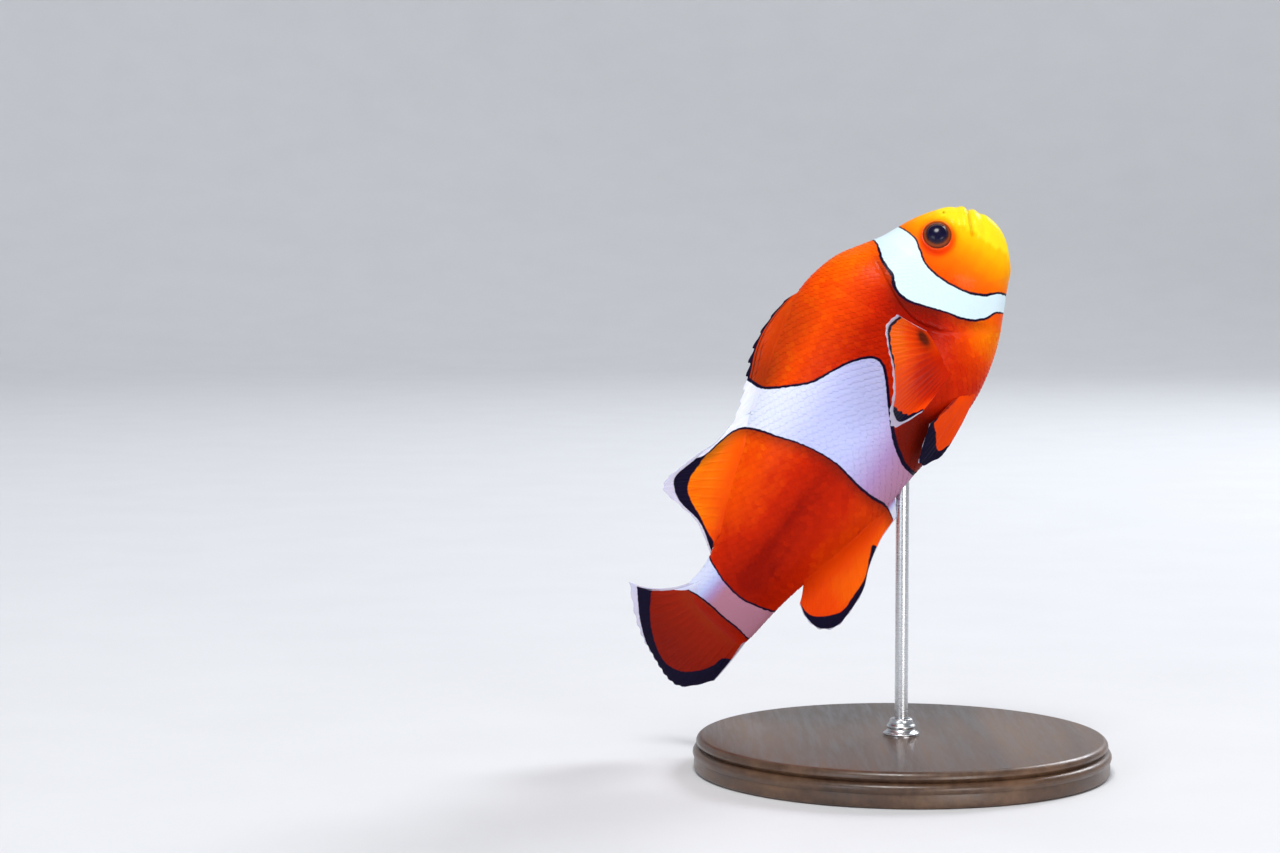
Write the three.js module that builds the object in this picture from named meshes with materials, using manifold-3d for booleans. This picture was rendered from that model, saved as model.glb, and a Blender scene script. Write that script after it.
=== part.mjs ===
// A clownfish that swims head up, held by a plain display stand. Millimetres, +Z up, with the
// origin under the middle of the stand's base.
//
// The fish is laid out straight first: s runs from the snout tailwards, h up towards the back
// and w out of the right flank. The spine then carries every point into the swimming pose.
import * as THREE from 'three';
import { mergeVertices } from 'three/addons/utils/BufferGeometryUtils.js';
import Module from 'manifold-3d';

const wasm = await Module();
wasm.setup();

// ---------------------------------------------------------------- driving sizes
const GAP = 0.3;

// Pose: where the snout is, the roll about the spine, and the spine as rows of
// s, slope below level towards the tail, sideways bend away from the right flank (degrees)
const SNOUT = new THREE.Vector3(11.86, 0, 79.57);
const ROLL = 4;
const SPINE = [
  [-6, 58.5, 0], [20, 58, 0], [40, 57.2, 3], [50, 56.6, 8], [58, 55.6, 15],
  [65, 53.5, 22], [70, 50.5, 28], [76, 45, 35], [90, 37, 46],
];
const SPINE_START = -6;
const SPINE_END = 90;
const SPINE_STEP = 0.25;

// Body sections: s, height of the back, height of the belly, half width,
// pinch of the back, pinch of the belly (1 is round, more is sharper)
const BODY = [
  [0.00, 0.55, 0.55, 0.00, 1.00, 1.00],
  [0.14, 1.70, -0.60, 0.95, 1.00, 1.00],
  [0.50, 2.75, -2.05, 1.75, 1.00, 1.00],
  [1.10, 4.10, -3.25, 2.45, 0.98, 0.98],
  [2.00, 5.55, -4.45, 3.05, 0.96, 0.96],
  [3.20, 6.70, -5.55, 3.60, 0.94, 0.95],
  [4.60, 7.85, -6.60, 4.10, 0.92, 0.95],
  [6.20, 8.95, -7.40, 4.55, 0.92, 0.95],
  [8.20, 10.05, -8.20, 5.10, 0.95, 0.95],
  [10.5, 11.30, -9.20, 5.60, 1.00, 0.95],
  [13.0, 13.10, -10.25, 6.10, 1.05, 0.95],
  [16.0, 15.20, -11.25, 6.55, 1.10, 0.94],
  [19.5, 16.50, -12.00, 6.90, 1.14, 0.93],
  [23.0, 17.10, -12.35, 7.10, 1.16, 0.92],
  [27.0, 17.00, -12.20, 7.05, 1.18, 0.92],
  [31.0, 16.30, -11.75, 6.85, 1.18, 0.92],
  [35.0, 15.35, -11.10, 6.50, 1.18, 0.93],
  [39.0, 14.35, -10.55, 6.00, 1.16, 0.95],
  [43.0, 13.35, -10.25, 5.40, 1.14, 1.00],
  [47.0, 12.25, -9.70, 4.75, 1.12, 1.04],
  [51.0, 11.05, -8.80, 4.05, 1.10, 1.06],
  [55.0, 9.65, -7.70, 3.35, 1.08, 1.06],
  [59.0, 7.95, -6.65, 2.75, 1.04, 1.04],
  [62.5, 6.75, -6.05, 2.30, 1.00, 1.00],
  [66.0, 6.25, -5.75, 1.90, 0.98, 0.98],
  [69.0, 6.30, -5.70, 1.45, 0.96, 0.96],
  [71.0, 6.20, -5.60, 0.95, 0.94, 0.94],
];
const BODY_END = BODY.length - 1;
const NECK = 19.5;
// s, share of the depth from the belly up at which a section is widest
const WIDEST = [[0, 0.5], [12, 0.5], [24, 0.44], [40, 0.46], [60, 0.5], [80, 0.5]];
// A step between rows and along angles that is small enough to take slopes from
const NEAR = 0.02;

// Where the flesh is parted: behind the gill covers and ahead of the tail
const TAIL_CUT = 58.5;
const CUTTER_REACH = 14;
const CUTTER_STEPS = 18;
const HEAD = {
  sides: 48,
  snoutRows: [0, 0.35, 0.7, 1.05, 1.45, 1.9, 2.3, 2.7, 3.1, 3.5, 4, 4.5, 5, 5.5, 6, 6.5, 7],
  cheekRow: 7.5,
  rings: 10,
};
const TORSO = { start: 10.4, sides: 30, rings: 26 };
const TAIL = { sides: 24, rings: 10 };

// Free rim of the gill cover from the throat to the nape: h, s
const GILL_RIM = [
  [-16, 11.2], [-10.6, 11.4], [-8, 14.0], [-5, 16.2], [-2, 17.5], [1, 17.9],
  [4, 17.1], [7, 15.5], [10, 13.7], [12.6, 12.3], [20, 12.0],
];
const GILL = { lift: 0.42, fade: 3.2, drop: 1, from: [-11.5, -6.5], to: [8.5, 12.5] };

// Cheek bone ahead of the gill cover, from the jaw up: h, s
const CHEEK_RIM = [[-9, 3.0], [-7, 5.6], [-5, 7.9], [-2, 9.3], [1, 9.5], [4, 9.2], [8, 9.0]];
const CHEEK = { lift: 0.2, fade: 2.4, drop: 1.1, from: [-9.5, -5.5], to: [2, 6] };

// Mouth: its line runs from the front of the snout back and down to its corner (s, h)
const MOUTH_FRONT = new THREE.Vector2(0.55, 3.15);
const MOUTH_CORNER = new THREE.Vector2(3.85, 0.3);
const MOUTH_GAPE = 0.5;
const MOUTH_POINT = 0.08;
const MOUTH_OVERRUN = 1.5;
// Share of the mouth's length at which its lips start to fade and are gone
const LIP_END = [0.85, 1.2];
const UPPER_LIP = { at: 0.75, width: 0.5, lift: 0.32 };
const LOWER_LIP = { at: -0.85, width: 0.6, lift: 0.36 };
const UPPER_FOLD = { at: 1.75, width: 0.35, lift: -0.16 };
const LOWER_FOLD = { at: -1.95, width: 0.4, lift: -0.18 };

const NOSTRIL = { s: 3.3, h: 4.35, radius: 0.2, depth: 0.5, sides: 10 };
const EYE = { s: 6.3, h: 4.7, radius: 2.5, depth: 1.95, sunk: 1.0, sides: 22, rings: 12 };
const EYE_RIM = { radius: 2.45, width: 0.5, lift: 0.22 };

// Fins: half thicknesses of ray and membrane, half width of a ray in its own spacing,
// and how far a root is sunk before the body is cut away from it
const RAY = 0.5;
const MEMBRANE = 0.27;
const RAY_WIDTH = 0.2;
const FIN_ROOT = 1.6;
const EDGE_TAPER = 0.72;
// How a fin's edge waves: radians from its first ray to its last
const WAVE_TURN = 9;

const BASE = { radius: 30, height: 5, bevel: 0.9, foot: 0.6, sides: 64 };
const ROD = { radius: 0.95, top: 60, sides: 20 };
const COLLAR = { radius: 2.6, height: 2.4, shoulder: 0.4, wall: 0.45, sides: 24 };

const GOLD = 0xf39a12;
const ORANGE = 0xe85a10;
const RED_ORANGE = 0xc93f0c;
const BROWN_ORANGE = 0x9a4a1c;
const EYE_DARK = 0x1a0d0a;
const WALNUT = 0x3a2417;
const STEEL = 0xb8babd;

// ---------------------------------------------------------------- small maths
const { clamp, lerp, degToRad, smoothstep } = THREE.MathUtils;
const bell = (x, width) => Math.exp(-((x / width) ** 2));
const range = (from, to, count) => (
  Array.from({ length: count + 1 }, (_, i) => lerp(from, to, i / count))
);

// A smooth run through rows of numbers; u is the row index and may fall between rows.
function through(rows, u) {
  const last = rows.length - 1;
  const i = clamp(Math.floor(u), 0, last - 1);
  const t = u - i;
  const before = rows[Math.max(i - 1, 0)];
  const here = rows[i];
  const next = rows[i + 1];
  const after = rows[Math.min(i + 2, last)];
  return here.map((value, k) => {
    const leave = (next[k] - before[k]) / 2;
    const arrive = (after[k] - value) / 2;
    const rise = next[k] - value;
    const bendA = 3 * rise - 2 * leave - arrive;
    const bendB = leave + arrive - 2 * rise;
    return value + t * (leave + t * (bendA + t * bendB));
  });
}

// The row index at which the first column, which only rises, reaches x.
function indexAt(rows, x) {
  let low = 0;
  let high = rows.length - 1;
  while (high - low > 1e-9) {
    const middle = (low + high) / 2;
    if (through(rows, middle)[0] < x) low = middle;
    else high = middle;
  }
  return low;
}

const rowAt = (rows, x) => through(rows, indexAt(rows, x));
const bodyIndex = (s) => indexAt(BODY, s);

// ---------------------------------------------------------------- pose
function spineDirection(s) {
  const [, slope, bend] = rowAt(SPINE, s).map(degToRad);
  return new THREE.Vector3(
    -Math.cos(slope) * Math.cos(bend),
    Math.sin(bend),
    -Math.sin(slope) * Math.cos(bend),
  );
}

const spineCount = (SPINE_END - SPINE_START) / SPINE_STEP;
const spinePoints = [new THREE.Vector3()];
for (let i = 0; i < spineCount; i += 1) {
  const direction = spineDirection(SPINE_START + (i + 0.5) * SPINE_STEP);
  spinePoints.push(spinePoints[i].clone().addScaledVector(direction, SPINE_STEP));
}
const snoutShift = SNOUT.clone().sub(spinePoints[-SPINE_START / SPINE_STEP]);
spinePoints.forEach((point) => point.add(snoutShift));

const frames = new Map();

// Centre of the spine at s, with the directions to the back and out of the right flank.
function frameAt(s) {
  if (frames.has(s)) return frames.get(s);
  const k = clamp((s - SPINE_START) / SPINE_STEP, 0, spineCount - 1e-6);
  const i = Math.floor(k);
  const centre = spinePoints[i].clone().lerp(spinePoints[i + 1], k - i);
  const slope = degToRad(rowAt(SPINE, s)[1]);
  const roll = degToRad(ROLL);
  const up = new THREE.Vector3(-Math.sin(slope), 0, Math.cos(slope));
  const side = spineDirection(s).negate().cross(up);
  const back = up.clone().multiplyScalar(Math.cos(roll)).addScaledVector(side, -Math.sin(roll));
  const flank = side.multiplyScalar(Math.cos(roll)).addScaledVector(up, Math.sin(roll));
  const frame = { centre, back, flank };
  frames.set(s, frame);
  return frame;
}

function posed(s, h, w) {
  const { centre, back, flank } = frameAt(s);
  return centre.clone().addScaledVector(back, h).addScaledVector(flank, w);
}

// ---------------------------------------------------------------- skin
// The smooth skin at body row u and angle a, which turns from the back (0) down the right
// flank to the belly (pi) and up the left flank.
function smoothSkin(u, a) {
  const [s, back, belly, half, pinchBack, pinchBelly] = through(BODY, u);
  const widest = lerp(belly, back, rowAt(WIDEST, s)[1]);
  const rise = Math.cos(a);
  const reach = Math.sin(a);
  const pinch = rise > 0 ? lerp(1, pinchBack, rise) : lerp(1, pinchBelly, -rise);
  const h = widest + rise * (rise > 0 ? back - widest : widest - belly);
  return new THREE.Vector3(s, h, Math.sign(reach) * half * Math.abs(reach) ** pinch);
}

function skinNormal(u, a) {
  const behind = smoothSkin(Math.min(u + NEAR, BODY_END), a);
  const ahead = smoothSkin(Math.max(u - NEAR, 0), a);
  const around = smoothSkin(u, a + NEAR).sub(smoothSkin(u, a - NEAR));
  return around.cross(behind.sub(ahead)).normalize();
}

// A bone's edge under the skin: it rises towards the rim from ahead, and falls behind it.
function boneEdge(s, h, rimRows, { lift, fade, drop, from, to }) {
  const past = s - rowAt(rimRows, h)[1];
  const span = smoothstep(h, ...from) * (1 - smoothstep(h, ...to));
  return lift * span * bell(past, past <= 0 ? fade : drop);
}

// Lips, folds, eye rims, cheeks and gill covers, as height over the smooth skin.
function relief({ x: s, y: h }) {
  const mouth = MOUTH_CORNER.clone().sub(MOUTH_FRONT);
  const length = mouth.length();
  mouth.normalize();
  const along = ((s - MOUTH_FRONT.x) * mouth.x + (h - MOUTH_FRONT.y) * mouth.y) / length;
  const across = (h - MOUTH_FRONT.y) * mouth.x - (s - MOUTH_FRONT.x) * mouth.y;
  const lipEnd = 1 - smoothstep(along, ...LIP_END);
  let height = 0;
  [UPPER_LIP, LOWER_LIP, UPPER_FOLD, LOWER_FOLD].forEach(({ at, width, lift }) => {
    height += lift * bell(across - at, width) * lipEnd;
  });
  const fromEye = Math.hypot(s - EYE.s, h - EYE.h);
  height += EYE_RIM.lift * bell(fromEye - EYE_RIM.radius, EYE_RIM.width);
  return height + boneEdge(s, h, GILL_RIM, GILL) + boneEdge(s, h, CHEEK_RIM, CHEEK);
}

function skin(u, a, grow, withRelief) {
  const point = smoothSkin(u, a);
  if (u < 1e-6) return point.setX(-grow);
  const lift = grow + (withRelief ? relief(point) : 0);
  return point.addScaledVector(skinNormal(u, a), lift);
}

// Body row and angle of the right flank's smooth skin at a given s and h.
function flankAt(s, h) {
  const u = bodyIndex(s);
  let low = 0;
  let high = Math.PI;
  while (high - low > 1e-9) {
    const middle = (low + high) / 2;
    if (smoothSkin(u, middle).y > h) low = middle;
    else high = middle;
  }
  return [u, low];
}

const flankWidth = (s, h) => smoothSkin(...flankAt(s, h)).z;

// A place on the skin of either side (1 right, -1 left) with the direction out of it.
function skinSeat({ s, h }, side) {
  const [u, a] = flankAt(s, h);
  const point = smoothSkin(u, a);
  const normal = skinNormal(u, a);
  const at = (depth) => {
    const moved = point.clone().addScaledVector(normal, depth);
    return posed(moved.x, moved.y, moved.z * side);
  };
  const foot = at(0);
  return { at, out: at(1).sub(foot).normalize() };
}

// ---------------------------------------------------------------- solids
// Moves every vertex of a shape to the place that the rule gives for it.
function warp(geometry, rule) {
  const { position } = geometry.attributes;
  const vertex = new THREE.Vector3();
  for (let i = 0; i < position.count; i += 1) {
    position.setXYZ(i, ...rule(vertex.fromBufferAttribute(position, i)));
  }
  return geometry;
}

function solidFrom(geometry) {
  geometry.deleteAttribute('normal');
  geometry.deleteAttribute('uv');
  const merged = mergeVertices(geometry, 1e-4);
  const corners = merged.index.array;
  const triangles = [];
  for (let i = 0; i < corners.length; i += 3) {
    const [a, b, c] = corners.slice(i, i + 3);
    if (a !== b && b !== c && c !== a) triangles.push(a, b, c);
  }
  const build = (order) => new wasm.Manifold(new wasm.Mesh({
    numProp: 3,
    vertProperties: Float32Array.from(merged.attributes.position.array),
    triVerts: Uint32Array.from(order),
  }));
  const solid = build(triangles);
  return solid.volume() > 0 ? solid : build(triangles.reverse());
}

const largest = (solid) => solid.decompose().reduce((a, b) => (a.volume() > b.volume() ? a : b));

// The body between its first and last station, as a tube of sections with closed ends.
function bodySolid({ stations, sides, grow = 0, withRelief = false }) {
  const tube = new THREE.CylinderGeometry(1, 1, 1, sides, stations.length - 1);
  warp(tube, ({ x, y, z }) => {
    const u = stations[Math.round((0.5 - y) * (stations.length - 1))];
    if (Math.hypot(x, z) > 0.5) {
      const point = skin(u, Math.atan2(x, z), grow, withRelief);
      return posed(point.x, point.y, point.z);
    }
    const back = skin(u, 0, grow, false);
    const belly = skin(u, Math.PI, grow, false);
    return posed(back.x, (back.y + belly.y) / 2, 0);
  });
  return solidFrom(tube);
}

// A cutter right across the fish, between two lines that give [s, h] for 0 to 1.
function cutter(front, rear, steps) {
  const box = new THREE.BoxGeometry(1, 1, 1, 1, steps, 1);
  return solidFrom(warp(box, ({ x, y, z }) => {
    const [s, h] = (x < 0 ? front : rear)(y + 0.5);
    return posed(s, h, z * 2 * CUTTER_REACH);
  }));
}

// ---------------------------------------------------------------- fins
// A fin's table has one row a place along its root, for the ray there:
// root (s, h, w), pull of its bow (s, h, w), tip (s, h, w).
function rayPoint(table, share, v) {
  const row = through(table, clamp(share, 0, 1) * (table.length - 1));
  const [root, pull, tip] = [0, 3, 6].map((k) => new THREE.Vector3(...row.slice(k, k + 3)));
  return root.multiplyScalar((1 - v) ** 2)
    .addScaledVector(pull, 2 * v * (1 - v))
    .addScaledVector(tip, v * v);
}

// A membrane with its rays raised as ridges on both faces, split alike on both.
function finSheet({ table, rays, rows, sunk = FIN_ROOT, wave = 0, notch = 0 }) {
  const columns = [];
  for (let i = 0; i < rays; i += 1) {
    const at = i / (rays - 1);
    const beside = RAY_WIDTH / (rays - 1);
    if (i > 0) columns.push({ share: at - beside, ridge: false });
    columns.push({ share: at, ridge: true });
    if (i < rays - 1) columns.push({ share: at + beside, ridge: false });
  }
  const middle = (share, v) => {
    const point = rayPoint(table, share, Math.max(v, 0));
    if (v < 0) {
      const inwards = rayPoint(table, share, 0).sub(rayPoint(table, share, NEAR)).normalize();
      point.addScaledVector(inwards, sunk);
    }
    point.z += wave * Math.sin(share * WAVE_TURN) * Math.max(v, 0) ** 2;
    return posed(point.x, point.y, point.z);
  };
  const steps = [-1, ...range(0, 1, rows)];
  const positions = [];
  columns.forEach(({ share, ridge }) => steps.forEach((step) => {
    const v = step < 0 ? -1 : step * (ridge ? 1 : 1 - notch);
    const above = Math.max(v, 0);
    const along = middle(share, Math.min(above + NEAR, 1))
      .sub(middle(share, Math.max(above - NEAR, 0)));
    const across = middle(Math.min(share + NEAR, 1), above)
      .sub(middle(Math.max(share - NEAR, 0), above));
    const out = along.cross(across).normalize();
    const thick = ridge ? lerp(RAY, MEMBRANE, above ** 1.5) : MEMBRANE;
    const half = thick * (step === 1 ? EDGE_TAPER : 1);
    const centre = middle(share, v);
    positions.push(...centre.clone().addScaledVector(out, half));
    positions.push(...centre.clone().addScaledVector(out, -half));
  }));
  const corner = (c, r, face) => 2 * (c * steps.length + r) + face;
  const triangles = [];
  const quad = (a, b, c, d) => triangles.push(a, b, c, a, c, d);
  const lastColumn = columns.length - 1;
  const lastRow = steps.length - 1;
  for (let c = 0; c < lastColumn; c += 1) {
    for (let r = 0; r < lastRow; r += 1) {
      quad(corner(c, r, 0), corner(c + 1, r, 0), corner(c + 1, r + 1, 0), corner(c, r + 1, 0));
      triangles.push(corner(c, r, 1), corner(c + 1, r + 1, 1), corner(c + 1, r, 1));
      triangles.push(corner(c, r, 1), corner(c, r + 1, 1), corner(c + 1, r + 1, 1));
    }
    quad(corner(c, 0, 0), corner(c, 0, 1), corner(c + 1, 0, 1), corner(c + 1, 0, 0));
    quad(
      corner(c + 1, lastRow, 0), corner(c + 1, lastRow, 1),
      corner(c, lastRow, 1), corner(c, lastRow, 0),
    );
  }
  for (let r = 0; r < lastRow; r += 1) {
    quad(corner(0, r, 0), corner(0, r + 1, 0), corner(0, r + 1, 1), corner(0, r, 1));
    quad(
      corner(lastColumn, r + 1, 0), corner(lastColumn, r, 0),
      corner(lastColumn, r, 1), corner(lastColumn, r + 1, 1),
    );
  }
  const sheet = new THREE.BufferGeometry();
  sheet.setAttribute('position', new THREE.Float32BufferAttribute(positions, 3));
  sheet.setIndex(triangles);
  return solidFrom(sheet);
}

// Full rows for a middle fin from s of the root and s, h, w of the tip. A ray bows sideways
// in the plane of the fin by the given share of its length.
function middleFin(rows, rootHeight, bow) {
  return rows.map(([s, tipS, tipH, tipW]) => {
    const h = rootHeight(s);
    const pullS = (s + tipS) / 2 + (h - tipH) * bow;
    const pullH = (h + tipH) / 2 + (tipS - s) * bow;
    return [s, h, 0, pullS, pullH, tipW / 2, tipS, tipH, tipW];
  });
}

const ROOT_SINK = 0.25;
const onBack = (s) => rowAt(BODY, s)[1] - ROOT_SINK;
const onBelly = (s) => rowAt(BODY, s)[2] + ROOT_SINK;

const SPINY_DORSAL = middleFin([
  [23.2, 25.6, 18.1, 0], [25.0, 29.0, 18.6, 0], [27.2, 32.6, 18.55, 0], [29.6, 35.6, 17.9, 0],
  [32.2, 38.0, 16.9, 0], [35.0, 40.4, 16.0, 0], [38.0, 42.7, 15.3, 0], [40.8, 44.6, 14.9, 0],
], onBack, 0.06);
const SOFT_DORSAL = middleFin([
  [41.6, 45.6, 15.0, 0.1], [43.8, 48.7, 15.4, 0.3], [46.2, 51.6, 16.6, 0.5],
  [48.6, 54.6, 17.5, 0.6], [51.0, 57.4, 18.0, 0.6], [53.2, 59.0, 17.0, 0.5],
  [55.4, 60.0, 14.2, 0.3], [57.6, 60.9, 11.0, 0.1], [59.8, 62.3, 8.0, 0],
], onBack, 0.05);
const ANAL = middleFin([
  [42.4, 44.6, -12.0, 0], [44.2, 47.6, -12.0, 0.1], [46.2, 50.8, -12.9, 0.3],
  [48.4, 54.2, -14.2, 0.5], [50.6, 57.8, -14.5, 0.6], [52.8, 60.7, -14.2, 0.6],
  [54.8, 62.3, -12.4, 0.4], [56.6, 62.2, -10.0, 0.2], [58.2, 61.2, -8.0, 0],
], onBelly, -0.05);
const CAUDAL = [
  [70.2, 5.9, 79.7, 12.2, -0.4], [70.8, 4.8, 82.3, 8.4, 0.2], [71.0, 3.3, 84.2, 5.1, 0.5],
  [71.1, 1.7, 85.3, 2.3, 0.6], [71.1, 0.1, 85.9, -0.4, 0.5], [71.0, -1.6, 85.8, -2.9, 0.3],
  [70.8, -3.4, 84.2, -5.0, 0.1], [70.2, -5.0, 79.2, -6.4, -0.2],
].map(([s, h, tipS, tipH, tipW]) => [
  s, h, 0, (s + tipS) / 2, (h + tipH) / 2, tipW / 2, tipS, tipH, tipW,
]);
const CAUDAL_SINK = 0.8;

// Paired fins, right side: root (s, h), then the bow's pull and the tip, with w from the flank
const PECTORAL_SINK = 0.2;
const PECTORAL = [
  [18.9, -0.9, 18.8, 1.8, 4.0, 18.9, 3.4, 8.6],
  [19.3, -1.9, 20.2, 1.8, 5.6, 21.0, 3.9, 12.0],
  [19.8, -2.9, 21.6, 0.6, 6.6, 23.2, 2.2, 13.6],
  [20.4, -3.9, 23.0, -1.2, 7.0, 25.4, 0.6, 14.0],
  [21.0, -4.8, 24.4, -2.9, 7.0, 28.2, -1.4, 13.6],
  [21.6, -5.7, 25.6, -4.4, 6.6, 30.6, -2.9, 12.4],
  [22.0, -6.5, 26.0, -5.8, 5.8, 31.2, -4.4, 10.4],
  [22.3, -7.2, 25.4, -7.0, 4.4, 28.4, -6.4, 7.6],
].map(([s, h, pullS, pullH, pullW, tipS, tipH, tipW]) => {
  const w = flankWidth(s, h) - PECTORAL_SINK;
  return [s, h, w, pullS, pullH, w + pullW, tipS, tipH, w + tipW];
});
const PELVIC = [
  [23.4, -11.9, 2.2, 27.0, -12.9, 3.2, 31.0, -13.4, 3.4],
  [23.7, -11.6, 2.7, 28.4, -12.6, 4.2, 33.2, -13.1, 4.0],
  [24.0, -11.2, 3.2, 29.2, -11.8, 5.4, 35.2, -11.5, 5.0],
  [24.3, -10.7, 3.8, 29.4, -10.8, 6.6, 34.8, -9.8, 6.4],
  [24.6, -10.2, 4.3, 28.8, -9.9, 7.4, 32.2, -8.6, 7.6],
  [24.8, -9.7, 4.8, 27.6, -9.0, 7.8, 29.4, -7.8, 8.4],
];
const sided = (table, side) => table.map((row) => row.map((v, k) => (k % 3 === 2 ? v * side : v)));

// ---------------------------------------------------------------- flesh
const rimLine = (shift) => (t) => {
  const h = lerp(GILL_RIM[0][0], GILL_RIM.at(-1)[0], t);
  return [rowAt(GILL_RIM, h)[1] + shift, h];
};
const straightLine = (s) => (t) => [s, lerp(GILL_RIM[0][0], GILL_RIM.at(-1)[0], t)];
const behindRim = cutter(rimLine(0), straightLine(NECK + CUTTER_REACH), CUTTER_STEPS);
const aheadOfRim = cutter(straightLine(SPINE_START), rimLine(GAP), CUTTER_STEPS);

// The slit of the mouth widens from its corner forwards, past the front of the snout.
const mouthLine = (side) => (t) => {
  const point = MOUTH_CORNER.clone().lerp(MOUTH_FRONT, t * MOUTH_OVERRUN);
  const half = lerp(MOUTH_POINT, MOUTH_GAPE, t) / 2 * side;
  return [point.x + half, point.y + half];
};
const mouthSlit = cutter(mouthLine(-1), mouthLine(1), 1);

function eyeball(side, grow) {
  const { at, out } = skinSeat(EYE, side);
  const ball = new THREE.SphereGeometry(1, EYE.sides, EYE.rings);
  ball.rotateX(Math.PI / 2);
  ball.scale(EYE.radius + grow, EYE.radius + grow, EYE.depth + grow);
  const turn = new THREE.Quaternion().setFromUnitVectors(new THREE.Vector3(0, 0, 1), out);
  ball.applyQuaternion(turn);
  ball.translate(...at(-EYE.sunk));
  return solidFrom(ball);
}

// A cone with its point at the pit's depth, which is as far out of the skin again.
function nostril(side) {
  const { at, out } = skinSeat(NOSTRIL, side);
  const pit = new THREE.ConeGeometry(NOSTRIL.radius * 2, NOSTRIL.depth * 2, NOSTRIL.sides);
  const turn = new THREE.Quaternion().setFromUnitVectors(new THREE.Vector3(0, -1, 0), out);
  pit.applyQuaternion(turn);
  pit.translate(...at(0));
  return solidFrom(pit);
}

const headBlank = bodySolid({
  stations: [...HEAD.snoutRows, ...range(HEAD.cheekRow, bodyIndex(NECK), HEAD.rings)],
  sides: HEAD.sides,
  withRelief: true,
});
const head = [1, -1].reduce(
  (solid, side) => solid.subtract(eyeball(side, GAP)).subtract(nostril(side)),
  headBlank.subtract(behindRim).subtract(mouthSlit),
);
const torsoStations = range(bodyIndex(TORSO.start), bodyIndex(TAIL_CUT - GAP / 2), TORSO.rings);
const torso = bodySolid({ stations: torsoStations, sides: TORSO.sides }).subtract(aheadOfRim);
const tailStations = range(bodyIndex(TAIL_CUT + GAP / 2), BODY_END, TAIL.rings);
const tailStalk = bodySolid({ stations: tailStations, sides: TAIL.sides });

// The body grown by the gap, which is cut from everything that meets it.
const clearance = bodySolid({
  stations: [...torsoStations, ...tailStations],
  sides: TORSO.sides,
  grow: GAP,
});
const meetingBody = (solid) => largest(solid.subtract(clearance));

// ---------------------------------------------------------------- stand
// A turned shape from its outline as [radius, height] pairs, raised to a level.
function turned(outline, sides, level) {
  const profile = outline.map(([radius, height]) => new THREE.Vector2(radius, height));
  const geometry = new THREE.LatheGeometry(profile, sides);
  geometry.rotateX(Math.PI / 2);
  geometry.translate(0, 0, level);
  return solidFrom(geometry);
}

const standBase = turned([
  [0, 0],
  [BASE.radius - BASE.foot, 0],
  [BASE.radius, BASE.foot],
  [BASE.radius, BASE.height - BASE.bevel],
  [BASE.radius - BASE.bevel, BASE.height],
  [0, BASE.height],
], BASE.sides, 0);
const standRod = turned(
  [[0, 0], [ROD.radius, 0], [ROD.radius, ROD.top], [0, ROD.top]],
  ROD.sides,
  BASE.height + GAP,
);
const collarBore = ROD.radius + GAP;
const standCollar = turned([
  [collarBore, 0],
  [COLLAR.radius, 0],
  [COLLAR.radius, COLLAR.height * COLLAR.shoulder],
  [collarBore + COLLAR.wall, COLLAR.height],
  [collarBore, COLLAR.height],
  [collarBore, 0],
], COLLAR.sides, BASE.height + GAP);

// ---------------------------------------------------------------- the model
const group = new THREE.Group();
group.name = 'clownfish';

function addNode(name, solid, color, roughness, metalness = 0) {
  const mesh = largest(solid).getMesh();
  const geometry = new THREE.BufferGeometry();
  geometry.setAttribute('position', new THREE.BufferAttribute(mesh.vertProperties, 3));
  geometry.setIndex(new THREE.BufferAttribute(mesh.triVerts, 1));
  geometry.computeVertexNormals();
  const material = new THREE.MeshStandardMaterial({ color, roughness, metalness });
  const node = new THREE.Mesh(geometry, material);
  node.name = name;
  group.add(node);
}

const addFin = (name, color, form) => addNode(name, meetingBody(finSheet(form)), color, 0.5);

addNode('head', head, GOLD, 0.45);
addNode('torso', torso, ORANGE, 0.45);
addNode('tail_stalk', tailStalk, ORANGE, 0.45);
addFin('dorsal_fin_spiny', BROWN_ORANGE, { table: SPINY_DORSAL, rays: 10, rows: 4, notch: 0.12 });
addFin('dorsal_fin_soft', ORANGE, { table: SOFT_DORSAL, rays: 14, rows: 6, wave: 0.25, notch: 0.02 });
addFin('anal_fin', ORANGE, { table: ANAL, rays: 13, rows: 5, wave: 0.25, notch: 0.02 });
addFin('caudal_fin', RED_ORANGE, {
  table: CAUDAL, rays: 15, rows: 7, sunk: CAUDAL_SINK, wave: 0.3, notch: 0.02,
});
Object.entries({ right: 1, left: -1 }).forEach(([sideName, side]) => {
  addFin(`pectoral_fin_${sideName}`, ORANGE, {
    table: sided(PECTORAL, side), rays: 16, rows: 6, notch: 0.02,
  });
  addFin(`pelvic_fin_${sideName}`, ORANGE, {
    table: sided(PELVIC, side), rays: 6, rows: 6, notch: 0.03,
  });
  addNode(`eye_${sideName}`, eyeball(side, 0), EYE_DARK, 0.08);
});
addNode('stand_base', standBase, WALNUT, 0.4);
addNode('stand_rod', meetingBody(standRod), STEEL, 0.25, 1);
addNode('stand_collar', standCollar, STEEL, 0.25, 1);

export default group;
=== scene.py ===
import math

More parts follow.
